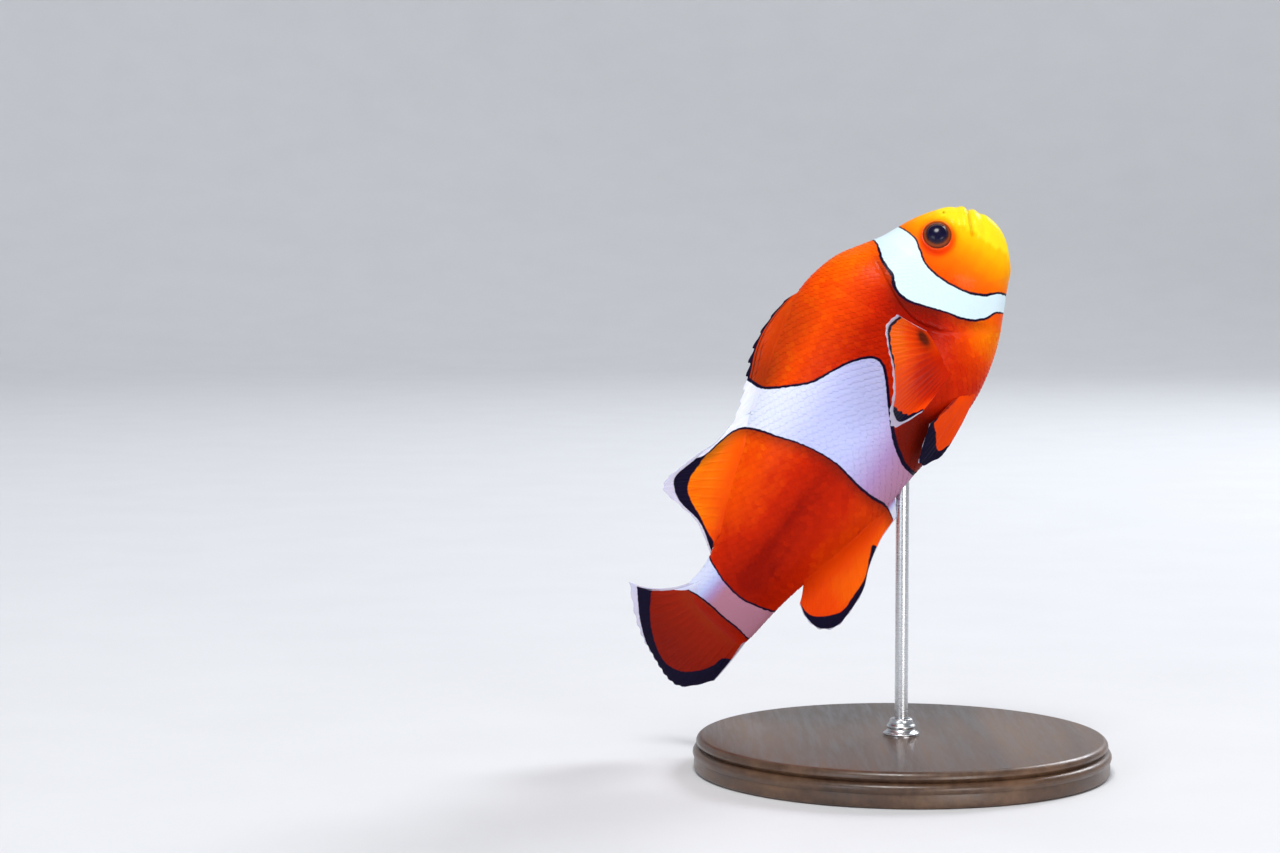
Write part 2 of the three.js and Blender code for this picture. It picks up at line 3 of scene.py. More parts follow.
import bmesh
import bpy
import numpy as np
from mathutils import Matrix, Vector


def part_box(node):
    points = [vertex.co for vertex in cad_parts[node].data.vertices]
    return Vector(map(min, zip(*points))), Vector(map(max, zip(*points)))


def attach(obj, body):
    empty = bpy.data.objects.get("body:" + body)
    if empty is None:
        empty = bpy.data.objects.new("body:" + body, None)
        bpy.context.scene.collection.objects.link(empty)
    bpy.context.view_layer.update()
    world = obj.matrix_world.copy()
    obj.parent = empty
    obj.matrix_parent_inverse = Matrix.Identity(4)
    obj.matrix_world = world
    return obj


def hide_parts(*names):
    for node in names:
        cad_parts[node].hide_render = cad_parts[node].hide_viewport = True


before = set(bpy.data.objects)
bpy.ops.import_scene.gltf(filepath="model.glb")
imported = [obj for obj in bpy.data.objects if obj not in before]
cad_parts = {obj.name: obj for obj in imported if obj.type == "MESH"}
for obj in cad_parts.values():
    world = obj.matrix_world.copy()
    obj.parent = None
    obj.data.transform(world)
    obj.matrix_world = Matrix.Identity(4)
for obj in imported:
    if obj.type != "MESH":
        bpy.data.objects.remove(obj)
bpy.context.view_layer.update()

# The fish is laid out straight first, in millimetres: s runs from the snout tailwards, h up
# towards the back and w out of the right flank. The spine then carries it into its pose.
MM = 0.001
TURN = 2 * math.pi


# ------------------------------------------------------------------ small maths
class Run:
    """A smooth run through rows of numbers, looked up by row, or by the first column where
    that only rises."""

    STEPS = 60

    def __init__(self, rows):
        self.rows = np.array(rows, float)
        last = len(rows) - 1
        self.fine = np.linspace(0, last, last * self.STEPS + 1)
        self.first = self.at_row(self.fine)[:, 0]

    def at_row(self, u):
        last = len(self.rows) - 1
        u = np.asarray(u, float)
        i = np.clip(np.floor(u).astype(int), 0, last - 1)
        t = (u - i)[..., None]
        before, here = self.rows[np.maximum(i - 1, 0)], self.rows[i]
        after, later = self.rows[i + 1], self.rows[np.minimum(i + 2, last)]
        leave, arrive, rise = (after - before) / 2, (later - here) / 2, after - here
        bend = 3 * rise - 2 * leave - arrive
        return here + t * (leave + t * (bend + t * (leave + arrive - 2 * rise)))

    def row(self, x):
        return np.interp(x, self.first, self.fine)

    def at(self, x):
        return self.at_row(self.row(x))

    def value(self, x):
        return self.at(x)[..., 1]


def bell(x, width):
    return np.exp(-((x / width) ** 2))


def smoothstep(x, low, high):
    t = np.clip((x - low) / (high - low), 0, 1)
    return t * t * (3 - 2 * t)


def mix(a, b, share):
    return a + (b - a) * share


def unit(v):
    return v / np.maximum(np.linalg.norm(v, axis=-1, keepdims=True), 1e-12)


# ------------------------------------------------------------------ pose
SNOUT = np.array([11.86, 0, 79.57])
ROLL = math.radians(4)
# s, slope below level towards the tail, sideways bend away from the right flank (degrees)
SPINE = Run([
    (-6, 58.5, 0), (20, 58, 0), (40, 57.2, 3), (50, 56.6, 8), (58, 55.6, 15),
    (65, 53.5, 22), (70, 50.5, 28), (76, 45, 35), (90, 37, 46),
])
SPINE_START, SPINE_END, SPINE_STEP = -6, 90, 0.25


def spine_direction(s):
    slope, bend = np.radians(SPINE.at(s)[..., 1:]).T
    level = np.cos(bend)
    return np.stack([-np.cos(slope) * level, np.sin(bend), -np.sin(slope) * level], -1)


spine_s = np.arange(SPINE_START, SPINE_END + SPINE_STEP, SPINE_STEP)
spine_runs = spine_direction(spine_s[:-1] + SPINE_STEP / 2) * SPINE_STEP
spine_points = np.vstack([np.zeros((1, 3)), np.cumsum(spine_runs, 0)])
spine_points += SNOUT - spine_points[round(-SPINE_START / SPINE_STEP)]


def posed(points):
    """Straight (s, h, w) to the swimming pose, in millimetres."""
    s, h, w = points.T
    centre = np.stack([np.interp(s, spine_s, spine_points[:, k]) for k in range(3)], -1)
    slope = np.radians(SPINE.value(s))
    up = np.stack([-np.sin(slope), 0 * slope, np.cos(slope)], -1)
    side = np.cross(-spine_direction(s), up)
    back = up * math.cos(ROLL) - side * math.sin(ROLL)
    flank = side * math.cos(ROLL) + up * math.sin(ROLL)
    return centre + back * h[:, None] + flank * w[:, None]


# ------------------------------------------------------------------ body
# s, height of the back, height of the belly, half width, pinch of the back and of the belly
BODY = Run([
    (0.00, 0.55, 0.55, 0.00, 1.00, 1.00), (0.14, 1.70, -0.60, 0.95, 1.00, 1.00),
    (0.50, 2.75, -2.05, 1.75, 1.00, 1.00), (1.10, 4.10, -3.25, 2.45, 0.98, 0.98),
    (2.00, 5.55, -4.45, 3.05, 0.96, 0.96), (3.20, 6.70, -5.55, 3.60, 0.94, 0.95),
    (4.60, 7.85, -6.60, 4.10, 0.92, 0.95), (6.20, 8.95, -7.40, 4.55, 0.92, 0.95),
    (8.20, 10.05, -8.20, 5.10, 0.95, 0.95), (10.5, 11.30, -9.20, 5.60, 1.00, 0.95),
    (13.0, 13.10, -10.25, 6.10, 1.05, 0.95), (16.0, 15.20, -11.25, 6.55, 1.10, 0.94),
    (19.5, 16.50, -12.00, 6.90, 1.14, 0.93), (23.0, 17.10, -12.35, 7.10, 1.16, 0.92),
    (27.0, 17.00, -12.20, 7.05, 1.18, 0.92), (31.0, 16.30, -11.75, 6.85, 1.18, 0.92),
    (35.0, 15.35, -11.10, 6.50, 1.18, 0.93), (39.0, 14.35, -10.55, 6.00, 1.16, 0.95),
    (43.0, 13.35, -10.25, 5.40, 1.14, 1.00), (47.0, 12.25, -9.70, 4.75, 1.12, 1.04),
    (51.0, 11.05, -8.80, 4.05, 1.10, 1.06), (55.0, 9.65, -7.70, 3.35, 1.08, 1.06),
    (59.0, 7.95, -6.65, 2.75, 1.04, 1.04), (62.5, 6.75, -6.05, 2.30, 1.00, 1.00),
    (66.0, 6.25, -5.75, 1.90, 0.98, 0.98), (69.0, 6.30, -5.70, 1.45, 0.96, 0.96),
    (71.0, 6.20, -5.60, 0.95, 0.94, 0.94),
])
BACK, BELLY, HALF_WIDTH = 1, 2, 3
BODY_END = len(BODY.rows) - 1
TAIL_ROOT = BODY.rows[BODY_END, 0]
# s, share of the depth from the belly up at which a section is widest
WIDEST = Run([(0, 0.5), (12, 0.5), (24, 0.44), (40, 0.46), (60, 0.5), (80, 0.5)])
NEAR = 0.02

# Free rim of the gill cover and edge of the cheek bone ahead of it: h, s
GILL_RIM = Run([
    (-16, 11.2), (-10.6, 11.4), (-8, 14.0), (-5, 16.2), (-2, 17.5), (1, 17.9),
    (4, 17.1), (7, 15.5), (10, 13.7), (12.6, 12.3), (20, 12.0),
])
CHEEK_RIM = Run([(-9, 3.0), (-7, 5.6), (-5, 7.9), (-2, 9.3), (1, 9.5), (4, 9.2), (8, 9.0)])
GILL = dict(lift=0.24, fade=3.2, drop=0.14, low=(-6, -1), high=(6.5, 11))
CHEEK = dict(lift=0.14, fade=2.4, drop=0.9, low=(-9.5, -5.5), high=(2, 6))
GILL_SLIT = dict(depth=0.17, behind=0.24, width=0.18)

MOUTH_FRONT = np.array([0.55, 3.15])
MOUTH_CORNER = np.array([3.85, 0.3])
# Distance across from the line of the mouth, width and lift of its lips and folds
LIPS = [(0.7, 0.45, 0.13), (-0.8, 0.5, 0.22), (1.6, 0.35, -0.1), (-1.85, 0.45, -0.14)]
LIP_END = (0.85, 1.2)
MOUTH_SLIT = dict(depth=0.42, width=0.21, deep_from=0.4, end=(0.93, 1.06))
# The lower jaw closes a little behind the upper one
JAW_STEP = dict(depth=0.3, length=2.6, across=(-0.1, 0.25))

EYE = dict(s=6.3, h=4.7, radius=2.3, depth=1.85, sunk=0.92)
EYE_RIM = dict(radius=2.15, width=0.32, lift=0.1)
EYE_SOCKET = dict(depth=1.3, edge=(1.5, 1.95))
NOSTRIL = dict(s=3.0, h=5.6, radius=0.17, depth=0.35, rim=0.05)


def smooth_skin(u, a):
    """The smooth skin at body row u and angle a, which turns from the back (0) down the
    right flank to the belly (half a turn) and up the left flank."""
    s, back, belly, half, pinch_back, pinch_belly = np.moveaxis(BODY.at_row(u), -1, 0)
    widest = mix(belly, back, WIDEST.value(s))
    rise, reach = np.cos(a), np.sin(a)
    pinch = mix(1, np.where(rise > 0, pinch_back, pinch_belly), np.abs(rise))
    h = widest + rise * np.where(rise > 0, back - widest, widest - belly)
    return np.stack([s, h, np.sign(reach) * half * np.abs(reach) ** pinch], -1)


def skin_normal(u, a):
    behind = smooth_skin(np.minimum(u + NEAR, BODY_END), a)
    ahead = smooth_skin(np.maximum(u - NEAR, 0), a)
    around = smooth_skin(u, a + NEAR) - smooth_skin(u, a - NEAR)
    return unit(np.cross(around, behind - ahead))


def bone_edge(s, h, rim, lift, fade, drop, low, high):
    past = s - rim.value(h)
    span = smoothstep(h, *low) * (1 - smoothstep(h, *high))
    return lift * span * np.where(past <= 0, bell(past, fade), bell(past, drop))


def mouth_place(s, h):
    """Share of the way along the line of the mouth, and millimetres across from it."""
    mouth = MOUTH_CORNER - MOUTH_FRONT
    length = np.linalg.norm(mouth)
    mouth = mouth / length
    along = ((s - MOUTH_FRONT[0]) * mouth[0] + (h - MOUTH_FRONT[1]) * mouth[1]) / length
    return along, (h - MOUTH_FRONT[1]) * mouth[0] - (s - MOUTH_FRONT[0]) * mouth[1]


def away_from(place, s, h):
    """Millimetres from the middle of an eye or a nostril."""
    return np.hypot(s - place["s"], h - place["h"])


def relief(s, h):
    """Lips, folds, eye sockets, nostrils, cheeks and gill covers, as height over the skin."""
    along, across = mouth_place(s, h)
    slit = 1 - smoothstep(along, *MOUTH_SLIT["end"])
    slit *= mix(0.5, 1, smoothstep(along, 0, MOUTH_SLIT["deep_from"]))
    height = -MOUTH_SLIT["depth"] * slit * bell(across, MOUTH_SLIT["width"])
    lip_end = 1 - smoothstep(along, *LIP_END)
    for at, width, lift in LIPS:
        height += lift * bell(across - at, width) * lip_end
    from_mouth = np.hypot(s - MOUTH_FRONT[0], h - MOUTH_FRONT[1])
    jaw = smoothstep(-across, *JAW_STEP["across"]) * bell(from_mouth, JAW_STEP["length"])
    height -= JAW_STEP["depth"] * jaw
    from_eye = away_from(EYE, s, h)
    height += EYE_RIM["lift"] * bell(from_eye - EYE_RIM["radius"], EYE_RIM["width"])
    height -= EYE_SOCKET["depth"] * (1 - smoothstep(from_eye, *EYE_SOCKET["edge"]))
    from_nostril = away_from(NOSTRIL, s, h)
    height -= NOSTRIL["depth"] * bell(from_nostril, NOSTRIL["radius"])
    height += NOSTRIL["rim"] * bell(from_nostril - 2 * NOSTRIL["radius"], NOSTRIL["radius"] / 1.5)
    height += bone_edge(s, h, GILL_RIM, **GILL) + bone_edge(s, h, CHEEK_RIM, **CHEEK)
    behind = s - GILL_RIM.value(h) - GILL_SLIT["behind"]
    span = smoothstep(h, *GILL["low"]) * (1 - smoothstep(h, *GILL["high"]))
    return height - GILL_SLIT["depth"] * span * bell(behind, GILL_SLIT["width"])


def on_skin(u, a, lift=0.0):
    """Points on the finished skin, or lift millimetres over it, laid out straight."""
    point = smooth_skin(u, a)
    normal = skin_normal(u, a)
    normal[u < 1e-6] = (-1, 0, 0)
    height = relief(point[:, 0], point[:, 1]) + lift
    return point + normal * height[:, None]


def flank_at(s, h):
    """Body row and angle of the right flank at s and h."""
    u = BODY.row(s)
    angles = np.linspace(0, math.pi, 2001)
    heights = smooth_skin(np.full_like(angles, u), angles)[:, 1]
    return u, float(np.interp(-h, -heights, angles))


def flank_width(s, h):
    u, a = flank_at(s, h)
    return float(smooth_skin(np.array([u]), np.array([a]))[0, 2])


# ------------------------------------------------------------------ markings
# White bands from the back down: s, h and width of the black line outside the band
HEAD_BAND = dict(
    front=[
        (8.0, 12.0, 0.12), (8.1, 9.4, 0.16), (8.2, 8.0, 0.2), (8.5, 7.0, 0.22),
        (9.7, 5.5, 0.26), (10.6, 4.3, 0.26), (11.2, 2.6, 0.26), (11.4, 0.6, 0.26),
        (11.35, -1.4, 0.28), (11.0, -3.6, 0.34), (10.2, -5.5, 0.38), (9.2, -6.6, 0.3),
        (8.5, -7.8, 0.3), (8.2, -10.5, 0.26),
    ],
    rear=[
        (11.3, 14.5, 0.14), (11.5, 11.6, 0.2), (12.3, 10.4, 0.34), (13.3, 9.2, 0.42),
        (13.9, 7.8, 0.46), (14.4, 6.8, 0.48), (15.4, 6.0, 0.46), (16.0, 4.9, 0.42),
        (16.2, 3.4, 0.36), (15.9, 1.8, 0.3), (15.3, -0.4, 0.26), (14.75, -2.4, 0.26),
        (14.4, -4.2, 0.3), (13.7, -5.9, 0.34), (12.5, -7.3, 0.32), (11.0, -8.2, 0.24),
        (10.0, -10.8, 0.18),
    ],
)
MID_BAND = dict(
    front=[
        (38.4, 20.0, 0.5), (38.3, 15.9, 0.5), (38.2, 14.4, 0.42), (37.3, 12.9, 0.36),
        (35.3, 10.6, 0.34), (33.3, 8.5, 0.32), (30.6, 7.0, 0.32), (28.2, 5.6, 0.34),
        (26.4, 4.0, 0.36), (25.7, 2.7, 0.36), (26.1, 1.4, 0.38), (27.6, 0.0, 0.42),
        (29.8, -1.8, 0.46), (31.8, -3.5, 0.5), (33.8, -5.3, 0.56), (35.25, -7.1, 0.6),
        (36.4, -9.2, 0.6), (37.2, -13.6, 0.5),
    ],
    rear=[
        (54.5, 19.0, 0.14), (51.4, 15.9, 0.16), (47.8, 14.9, 0.18), (45.6, 14.2, 0.24),
        (44.1, 13.1, 0.3), (43.0, 11.2, 0.32), (42.2, 8.6, 0.28), (41.4, 6.0, 0.23),
        (40.9, 3.6, 0.21), (40.7, 1.2, 0.21), (40.75, -0.8, 0.25), (41.2, -3.0, 0.3),
        (41.7, -5.2, 0.34), (42.0, -7.6, 0.38), (42.1, -9.6, 0.34), (43.0, -11.2, 0.14),
        (44.6, -13.5, 0.1),
    ],
)
TAIL_BAND = dict(
    front=[
        (63.4, 9.0, 0.3), (63.9, 5.8, 0.3), (64.7, 2.7, 0.28), (65.1, -0.4, 0.28),
        (64.8, -2.9, 0.3), (64.4, -5.0, 0.3), (64.1, -8.0, 0.3),
    ],
    rear=[
        (71.6, 9.0, 0.2), (70.5, 6.0, 0.22), (69.6, 4.1, 0.3), (69.2, 1.9, 0.34),
        (69.3, -0.9, 0.34), (69.3, -3.2, 0.3), (69.8, -5.2, 0.24), (70.8, -8.0, 0.2),
    ],
)
# Where the black margin of each middle fin starts, closed well outside the fin: s, h
DORSAL_MARGIN = [
    (49.6, 15.9), (52.2, 15.5), (55.0, 15.5), (56.9, 14.8), (58.2, 13.2), (59.2, 11.2),
    (60.6, 8.9), (61.7, 7.1), (64.5, 7.5), (65.0, 14.0), (62.0, 21.0), (52.0, 20.0),
]
ANAL_MARGIN = [
    (48.0, -11.9), (49.6, -12.1), (52.5, -13.3), (55.9, -13.5), (58.1, -13.5), (59.8, -12.4),
    (61.2, -10.7), (61.4, -9.4), (61.2, -8.0), (62.5, -6.5), (66.0, -9.0), (62.0, -18.0),
    (50.0, -17.0),
]
TAIL_MARGIN = [
    (76.4, 10.2), (77.4, 8.9), (79.6, 7.1), (81.9, 4.6), (83.7, 1.7), (84.1, -0.7),
    (82.7, -2.8), (80.2, -4.2), (77.5, -5.0), (75.0, -5.3), (74.6, -9.0), (86.0, -10.0),
    (91.0, 0.0), (87.0, 12.0), (79.0, 16.0),
]
# Points along an outline for each of its rows, and the distance past which none is measured
OUTLINE_STEPS = 5
FAR = 3.0


def closed_curve(rows):
    """A smooth closed outline through the rows."""
    ring = np.vstack([rows[-2:], rows, rows[:2]])
    return Run(ring).at_row(np.arange(2, len(rows) + 2, 1 / OUTLINE_STEPS))


def band_outline(band):
    """A closed outline down the front of a band and back up its rear."""
    front, rear = (
        Run(rows).at_row(np.linspace(0, len(rows) - 1, (len(rows) - 1) * OUTLINE_STEPS + 1))
        for rows in (band["front"], band["rear"]))
    return np.vstack([front, rear[::-1]])


def inside_by(s, h, outline):
    """Millimetres from each point to the outline, more than 0 inside, and the outline's
    further columns where it is nearest."""
    distance = np.full(len(s), -FAR)
    extra = np.zeros((len(s), outline.shape[1] - 2))
    low, high = outline[:, :2].min(0) - FAR, outline[:, :2].max(0) + FAR
    near = np.flatnonzero((s > low[0]) & (s < high[0]) & (h > low[1]) & (h < high[1]))
    x, y = s[near], h[near]
    best = np.full(len(near), FAR)
    best_extra = extra[near]
    within = np.zeros(len(near), bool)
    for p, q in zip(outline, np.roll(outline, -1, 0)):
        edge = q[:2] - p[:2]
        t = np.clip(((x - p[0]) * edge[0] + (y - p[1]) * edge[1]) / (edge @ edge), 0, 1)
        gap = np.hypot(x - p[0] - t * edge[0], y - p[1] - t * edge[1])
        closer = gap < best
        best[closer] = gap[closer]
        best_extra[closer] = mix(p[2:], q[2:], t[closer, None])
        if p[1] != q[1]:
            crosses = (p[1] > y) != (q[1] > y)
            within ^= crosses & (x < p[0] + (y - p[1]) * edge[0] / edge[1])
    distance[near] = np.where(within, best, -best)
    extra[near] = best_extra
    return distance, extra


# Each band's outline, the s behind which the orange beside it is dusky, and how dusky
BANDS = [
    (band_outline(HEAD_BAND), 12.5, 0.5),
    (band_outline(MID_BAND), 38, 0.55),
    (band_outline(TAIL_BAND), 67, 0.2),
]
BAND_DUSK_REACH = 1.1
MARGINS = [closed_curve(rows) for rows in (DORSAL_MARGIN, ANAL_MARGIN, TAIL_MARGIN)]

# Darker streaks along the flank: h, s of both ends, width and depth
STREAKS = [
    (-0.4, 38, 66, 2.4, 0.13), (0.5, 44, 64, 0.7, 0.12), (-4.2, 48, 59, 0.5, 0.06),
    (3.1, 41, 55, 0.5, 0.05), (-1.9, 50, 62, 0.4, 0.06), (6.0, 42, 52, 0.6, 0.05),
]


def belly_shade(s, h):
    """Painted shade on the belly between the pelvic fins and the middle band, where the paired fins
    shadow it.
    """
    return smoothstep(-h, 3.2, 6.2) * smoothstep(s, 26, 30.5) * (1 - smoothstep(s, 38, 42))


def warmth_and_shade(s, h):
    """How yellow the orange is: 0 deep red-brown, 0.5 orange, 1 yellow, with painted light and
    shade laid into it.
    """
    face = 1 - smoothstep(s, 1, 13)
    # Painted light: the top of the nape lighter, as if lit from above
    lit_nape = smoothstep(h, 9, 13) * bell(s - 14, 5)
    throat = smoothstep(-h, 4, 9) * (1 - smoothstep(s, 15, 21)) * smoothstep(s, 11, 14)
    chest = smoothstep(-h, 0, 4) * bell(s - 18.5, 5)
    tone = 0.5 + 0.54 * face + 0.15 * lit_nape + 0.17 * throat + 0.09 * chest
    rear = smoothstep(s, 36, 44)
    # Painted shade: the flank darker the further it lies below the back
    flank = smoothstep(s, 14, 20) * np.clip(mix(12, 9, rear) - h, 0, 7)
    # Painted shade round the gill opening behind the gill cover
    gill_shade = bell(s - 17, 2.6) * bell(h - 1, 5)
    tone -= 0.036 * flank + 0.55 * gill_shade + 0.3 * belly_shade(s, h)
    for at, start, end, width, depth in STREAKS:
        span = smoothstep(s, start, start + 5) * (1 - smoothstep(s, end - 4, end))
        tone -= depth * span * bell(h - at, width)
    body = BODY.at(s)
    into_fins = smoothstep(np.maximum(h - body[..., BACK], body[..., BELLY] - h), -2, 3.5)
    tone += rear * (0.12 * smoothstep(-h, 3, 8) + 0.2 * into_fins)
    # Painted shade round the eye, deepest behind and below it
    eye_shadow = bell(np.hypot(s - EYE["s"] - 0.3, h - EYE["h"] + 0.3) - 2.0, 0.6)
    # Painted shade darkening the tail stalk
    tail_stalk = smoothstep(s, 53, 62)
    return tone - 0.32 * eye_shadow - 0.14 * tail_stalk


def markings(points, margins=False):
    """The fish's colours at straight points: distances inside the white and the black in
    millimetres, how yellow the orange is, how dusky it is with painted shade, and how far the white
    is tinted and painted into shade."""
    s, h = points[:, 0], points[:, 1]
    white = np.full(len(s), -FAR)
    black = np.full(len(s), -FAR)
    back = (1 - smoothstep(s, 40, 44)) * smoothstep(h, 11, 15)
    dusk = back * (0.34 * smoothstep(s, 20, 28) + 0.26 * smoothstep(s, 31, 37))
    for outline, middle, shade in BANDS:
        inside, line = inside_by(s, h, outline)
        white = np.maximum(white, inside)
        marked = np.where(inside > -FAR, inside + line[:, 0], -FAR)
        black = np.maximum(black, marked)
        beside = bell(np.minimum(marked, 0), BAND_DUSK_REACH)
        dusk += shade * beside * smoothstep(s - middle, 0, 2)
    if margins:
        for outline in MARGINS:
            black = np.maximum(black, inside_by(s, h, outline)[0])
    along, across = mouth_place(s, h)
    # Painted shade in the mouth slit, in the crease round the eye and in the nostril pit, and on
    # the belly
    mouth_slit_shade = bell(across, 0.17) * (1 - smoothstep(along, 0.9, 1.05))
    eye_crease_shade = bell(away_from(EYE, s, h) - 1.9, 0.2)
    nostril_shade = bell(away_from(NOSTRIL, s, h), NOSTRIL["radius"])
    dusk += 0.5 * belly_shade(s, h) + 0.35 * eye_crease_shade + 0.6 * nostril_shade + 0.34 * mouth_slit_shade
    # Painted shade on the whites: the middle band greyer and more lilac lower down, the tail band
    # pink-grey below its top
    flank_white_shade = 0.2 + 0.3 * smoothstep(-h, -12, -4) + 0.34 * smoothstep(-h, 0, 10)
    tail_white_shade = 0.92 - 0.65 * smoothstep(h, 1, 6)
    blush = mix(smoothstep(s, 18, 26) * flank_white_shade, tail_white_shade, smoothstep(s, 55, 63))
    return dict(white=white, black=black, tone=warmth_and_shade(s, h), dusk=dusk, blush=blush)


# ------------------------------------------------------------------ meshes
def finish_mesh(name, bm, merge=0.0, sharp=60):
    """Makes the piece that bm holds, with its doubles merged, its normals outward and its
    edges sharp where it turns by more than the given degrees."""
    if merge:
        bmesh.ops.remove_doubles(bm, verts=bm.verts, dist=merge)
    bmesh.ops.recalc_face_normals(bm, faces=bm.faces)
    mesh = bpy.data.meshes.new(name)
    bm.to_mesh(mesh)
    bm.free()
    mesh.shade_smooth()
    mesh.set_sharp_from_angle(angle=math.radians(sharp))
    piece = bpy.data.objects.new(name, mesh)
    bpy.context.scene.collection.objects.link(piece)
    return piece


def add_layers(mesh, layers):
    for name, values in layers.items():
        attribute = mesh.attributes.new(name, "FLOAT", "POINT")
        attribute.data.foreach_set("value", np.asarray(values, np.float32))


def shape_mesh(name, bm, points, layers):
    """Moves the vertices of bm to points, in millimetres, and gives them their layers."""
    mesh = bpy.data.meshes.new(name)
    bm.to_mesh(mesh)
    mesh.vertices.foreach_set("co", (points * MM).astype(np.float32).ravel())
    add_layers(mesh, layers)
    bm.clear()
    bm.from_mesh(mesh)
    bpy.data.meshes.remove(mesh)


def woven(name, columns, rows, rule, sharp=60):
    """A grid piece. The rule gets the share across and along of each vertex, and gives its
    straight points with their layers."""
    bm = bmesh.new()
    bmesh.ops.create_grid(bm, x_segments=columns, y_segments=rows, size=1)
    flat = np.array([vertex.co for vertex in bm.verts])
    points, layers = rule((flat[:, 0] + 1) / 2, (flat[:, 1] + 1) / 2)
    shape_mesh(name, bm, posed(points), layers)
    return finish_mesh(name, bm, merge=2e-7, sharp=sharp)


def spun(name, profile, segments, sharp=40):
    """A turned piece about the stand's middle from (radius, height) pairs in millimetres."""
    bm = bmesh.new()
    corners = [bm.verts.new((radius * MM, 0, height * MM)) for radius, height in profile]
    edges = [bm.edges.new(pair) for pair in zip(corners, corners[1:])]
    bmesh.ops.spin(
        bm, geom=corners + edges, axis=(0, 0, 1), cent=(0, 0, 0), angle=TURN,
        steps=segments, use_merge=True)
    return finish_mesh(name, bm, merge=1e-7, sharp=sharp)


def fitted(piece, look, slot, *nodes):
    """Gives a piece its material and its place in the model."""
    piece.data.materials.append(look)
    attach(piece, "root")
    if nodes:
        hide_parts(*nodes)


# ------------------------------------------------------------------ materials
def material(name):
    made = bpy.data.materials.new(name)
    made.use_nodes = True
    return made, made.node_tree, made.node_tree.nodes["Principled BSDF"]


def node(tree, kind, **settings):
    made = tree.nodes.new("ShaderNode" + kind)
    for key, value in settings.items():
        setattr(made, key, value)
    return made


def feed(tree, socket, value):
    """Links a socket to another one, or sets it."""
    if isinstance(value, bpy.types.NodeSocket):
        tree.links.new(value, socket)
    elif socket.type == "RGBA":
        socket.default_value = (*value, 1)
    else:
        socket.default_value = value


def feed_all(tree, sockets, values):
    for label, value in values.items():
        feed(tree, sockets[label], value)


def maths(tree, operation, a, b, clamp=False):
    made = node(tree, "Math", operation=operation, use_clamp=clamp)
    for socket, value in zip(made.inputs, (a, b)):
        feed(tree, socket, value)
    return made.outputs[0]


def stretched(tree, scale, rotation=(0, 0, 0), kind="POINT"):
    """Object coordinates, turned and stretched."""
    made = node(tree, "Mapping", vector_type=kind)
    made.inputs["Scale"].default_value = scale
    made.inputs["Rotation"].default_value = rotation
    tree.links.new(node(tree, "TexCoord").outputs["Object"], made.inputs["Vector"])
    return made.outputs[0]


def noise(tree, scale, detail, rough=0.5, vector=None):
    made = node(tree, "TexNoise")
    feed_all(tree, made.inputs, {
        "Scale": scale, "Detail": detail, "Roughness": rough,
        "Vector": vector or node(tree, "TexCoord").outputs["Object"],
    })
    return made.outputs["Fac"]


def ramp(tree, value, stops):
    made = node(tree, "ValToRGB")
    elements = made.color_ramp.elements
    while len(elements) < len(stops):
        elements.new(0.5)
    for element, (at, color) in zip(elements, stops):
        element.position = at
        element.color = (*color, 1)
    tree.links.new(value, made.inputs["Fac"])
    return made.outputs["Color"]


def blended(tree, share, a, b):
    made = node(tree, "Mix", data_type="RGBA")
    feed_all(tree, made.inputs, {0: share, 6: a, 7: b})
    return made.outputs[2]


def mapped(tree, value, low, high, to_low=0.0, to_high=1.0):
    made = node(tree, "MapRange", interpolation_type="SMOOTHSTEP")
    for socket, given in zip(made.inputs, (value, low, high, to_low, to_high)):
        feed(tree, socket, given)
    return made.outputs[0]


def layer(tree, name):
    return node(tree, "Attribute", attribute_name=name).outputs["Fac"]


def bumped(tree, shader, height, distance, strength):
    bump = node(tree, "Bump")
    feed_all(tree, bump.inputs, {"Distance": distance, "Strength": strength, "Height": height})
    tree.links.new(bump.outputs["Normal"], shader.inputs["Normal"])


def group(name, inputs, outputs):
    """A node group from the values of its inputs and the kinds of its outputs, with the
    sockets inside it that carry them."""
    tree = bpy.data.node_groups.new(name, "ShaderNodeTree")
    for label, value in inputs.items():
        socket = tree.interface.new_socket(label, in_out="INPUT", socket_type="NodeSocketFloat")
        socket.default_value = value
    for label, kind in outputs.items():
        tree.interface.new_socket(label, in_out="OUTPUT", socket_type="NodeSocket" + kind)
    return tree, tree.nodes.new("NodeGroupInput").outputs, tree.nodes.new("NodeGroupOutput").inputs


def placed(tree, made, **values):
    """A node group placed in a material with its own values."""
    here = node(tree, "Group", node_tree=made)
    feed_all(tree, here.inputs, values)
    return here.outputs


ORANGES = [
    (0.0, (0.3, 0.006, 0.001)),
    (0.28, (0.58, 0.018, 0.001)),
    (0.5, (0.86, 0.064, 0.001)),
    (0.7, (0.95, 0.165, 0.001)),
    (0.86, (0.96, 0.34, 0.001)),
    (0.97, (0.96, 0.52, 0.003)),
    (1.0, (0.95, 0.7, 0.015)),
]
# The bands' whites: cyan white on the head and lilac white on the middle band, then painted shade
# that greys them to lilac and pink lower down and on the tail band
WHITE_TINTS_AND_SHADE = [
    (0.0, (0.69, 0.84, 0.92)),
    (0.2, (0.76, 0.78, 0.93)),
    (0.5, (0.53, 0.56, 0.88)),
    (0.72, (0.45, 0.29, 0.56)),
    (0.9, (0.5, 0.21, 0.29)),
]
# The dark brown of the fish's own dusky tints and of its painted shade
DUSK_AND_SHADE = (0.05, 0.012, 0.006)
LINE_BLACK = (0.006, 0.004, 0.02)
RIM_WHITE = (0.66, 0.64, 0.82)


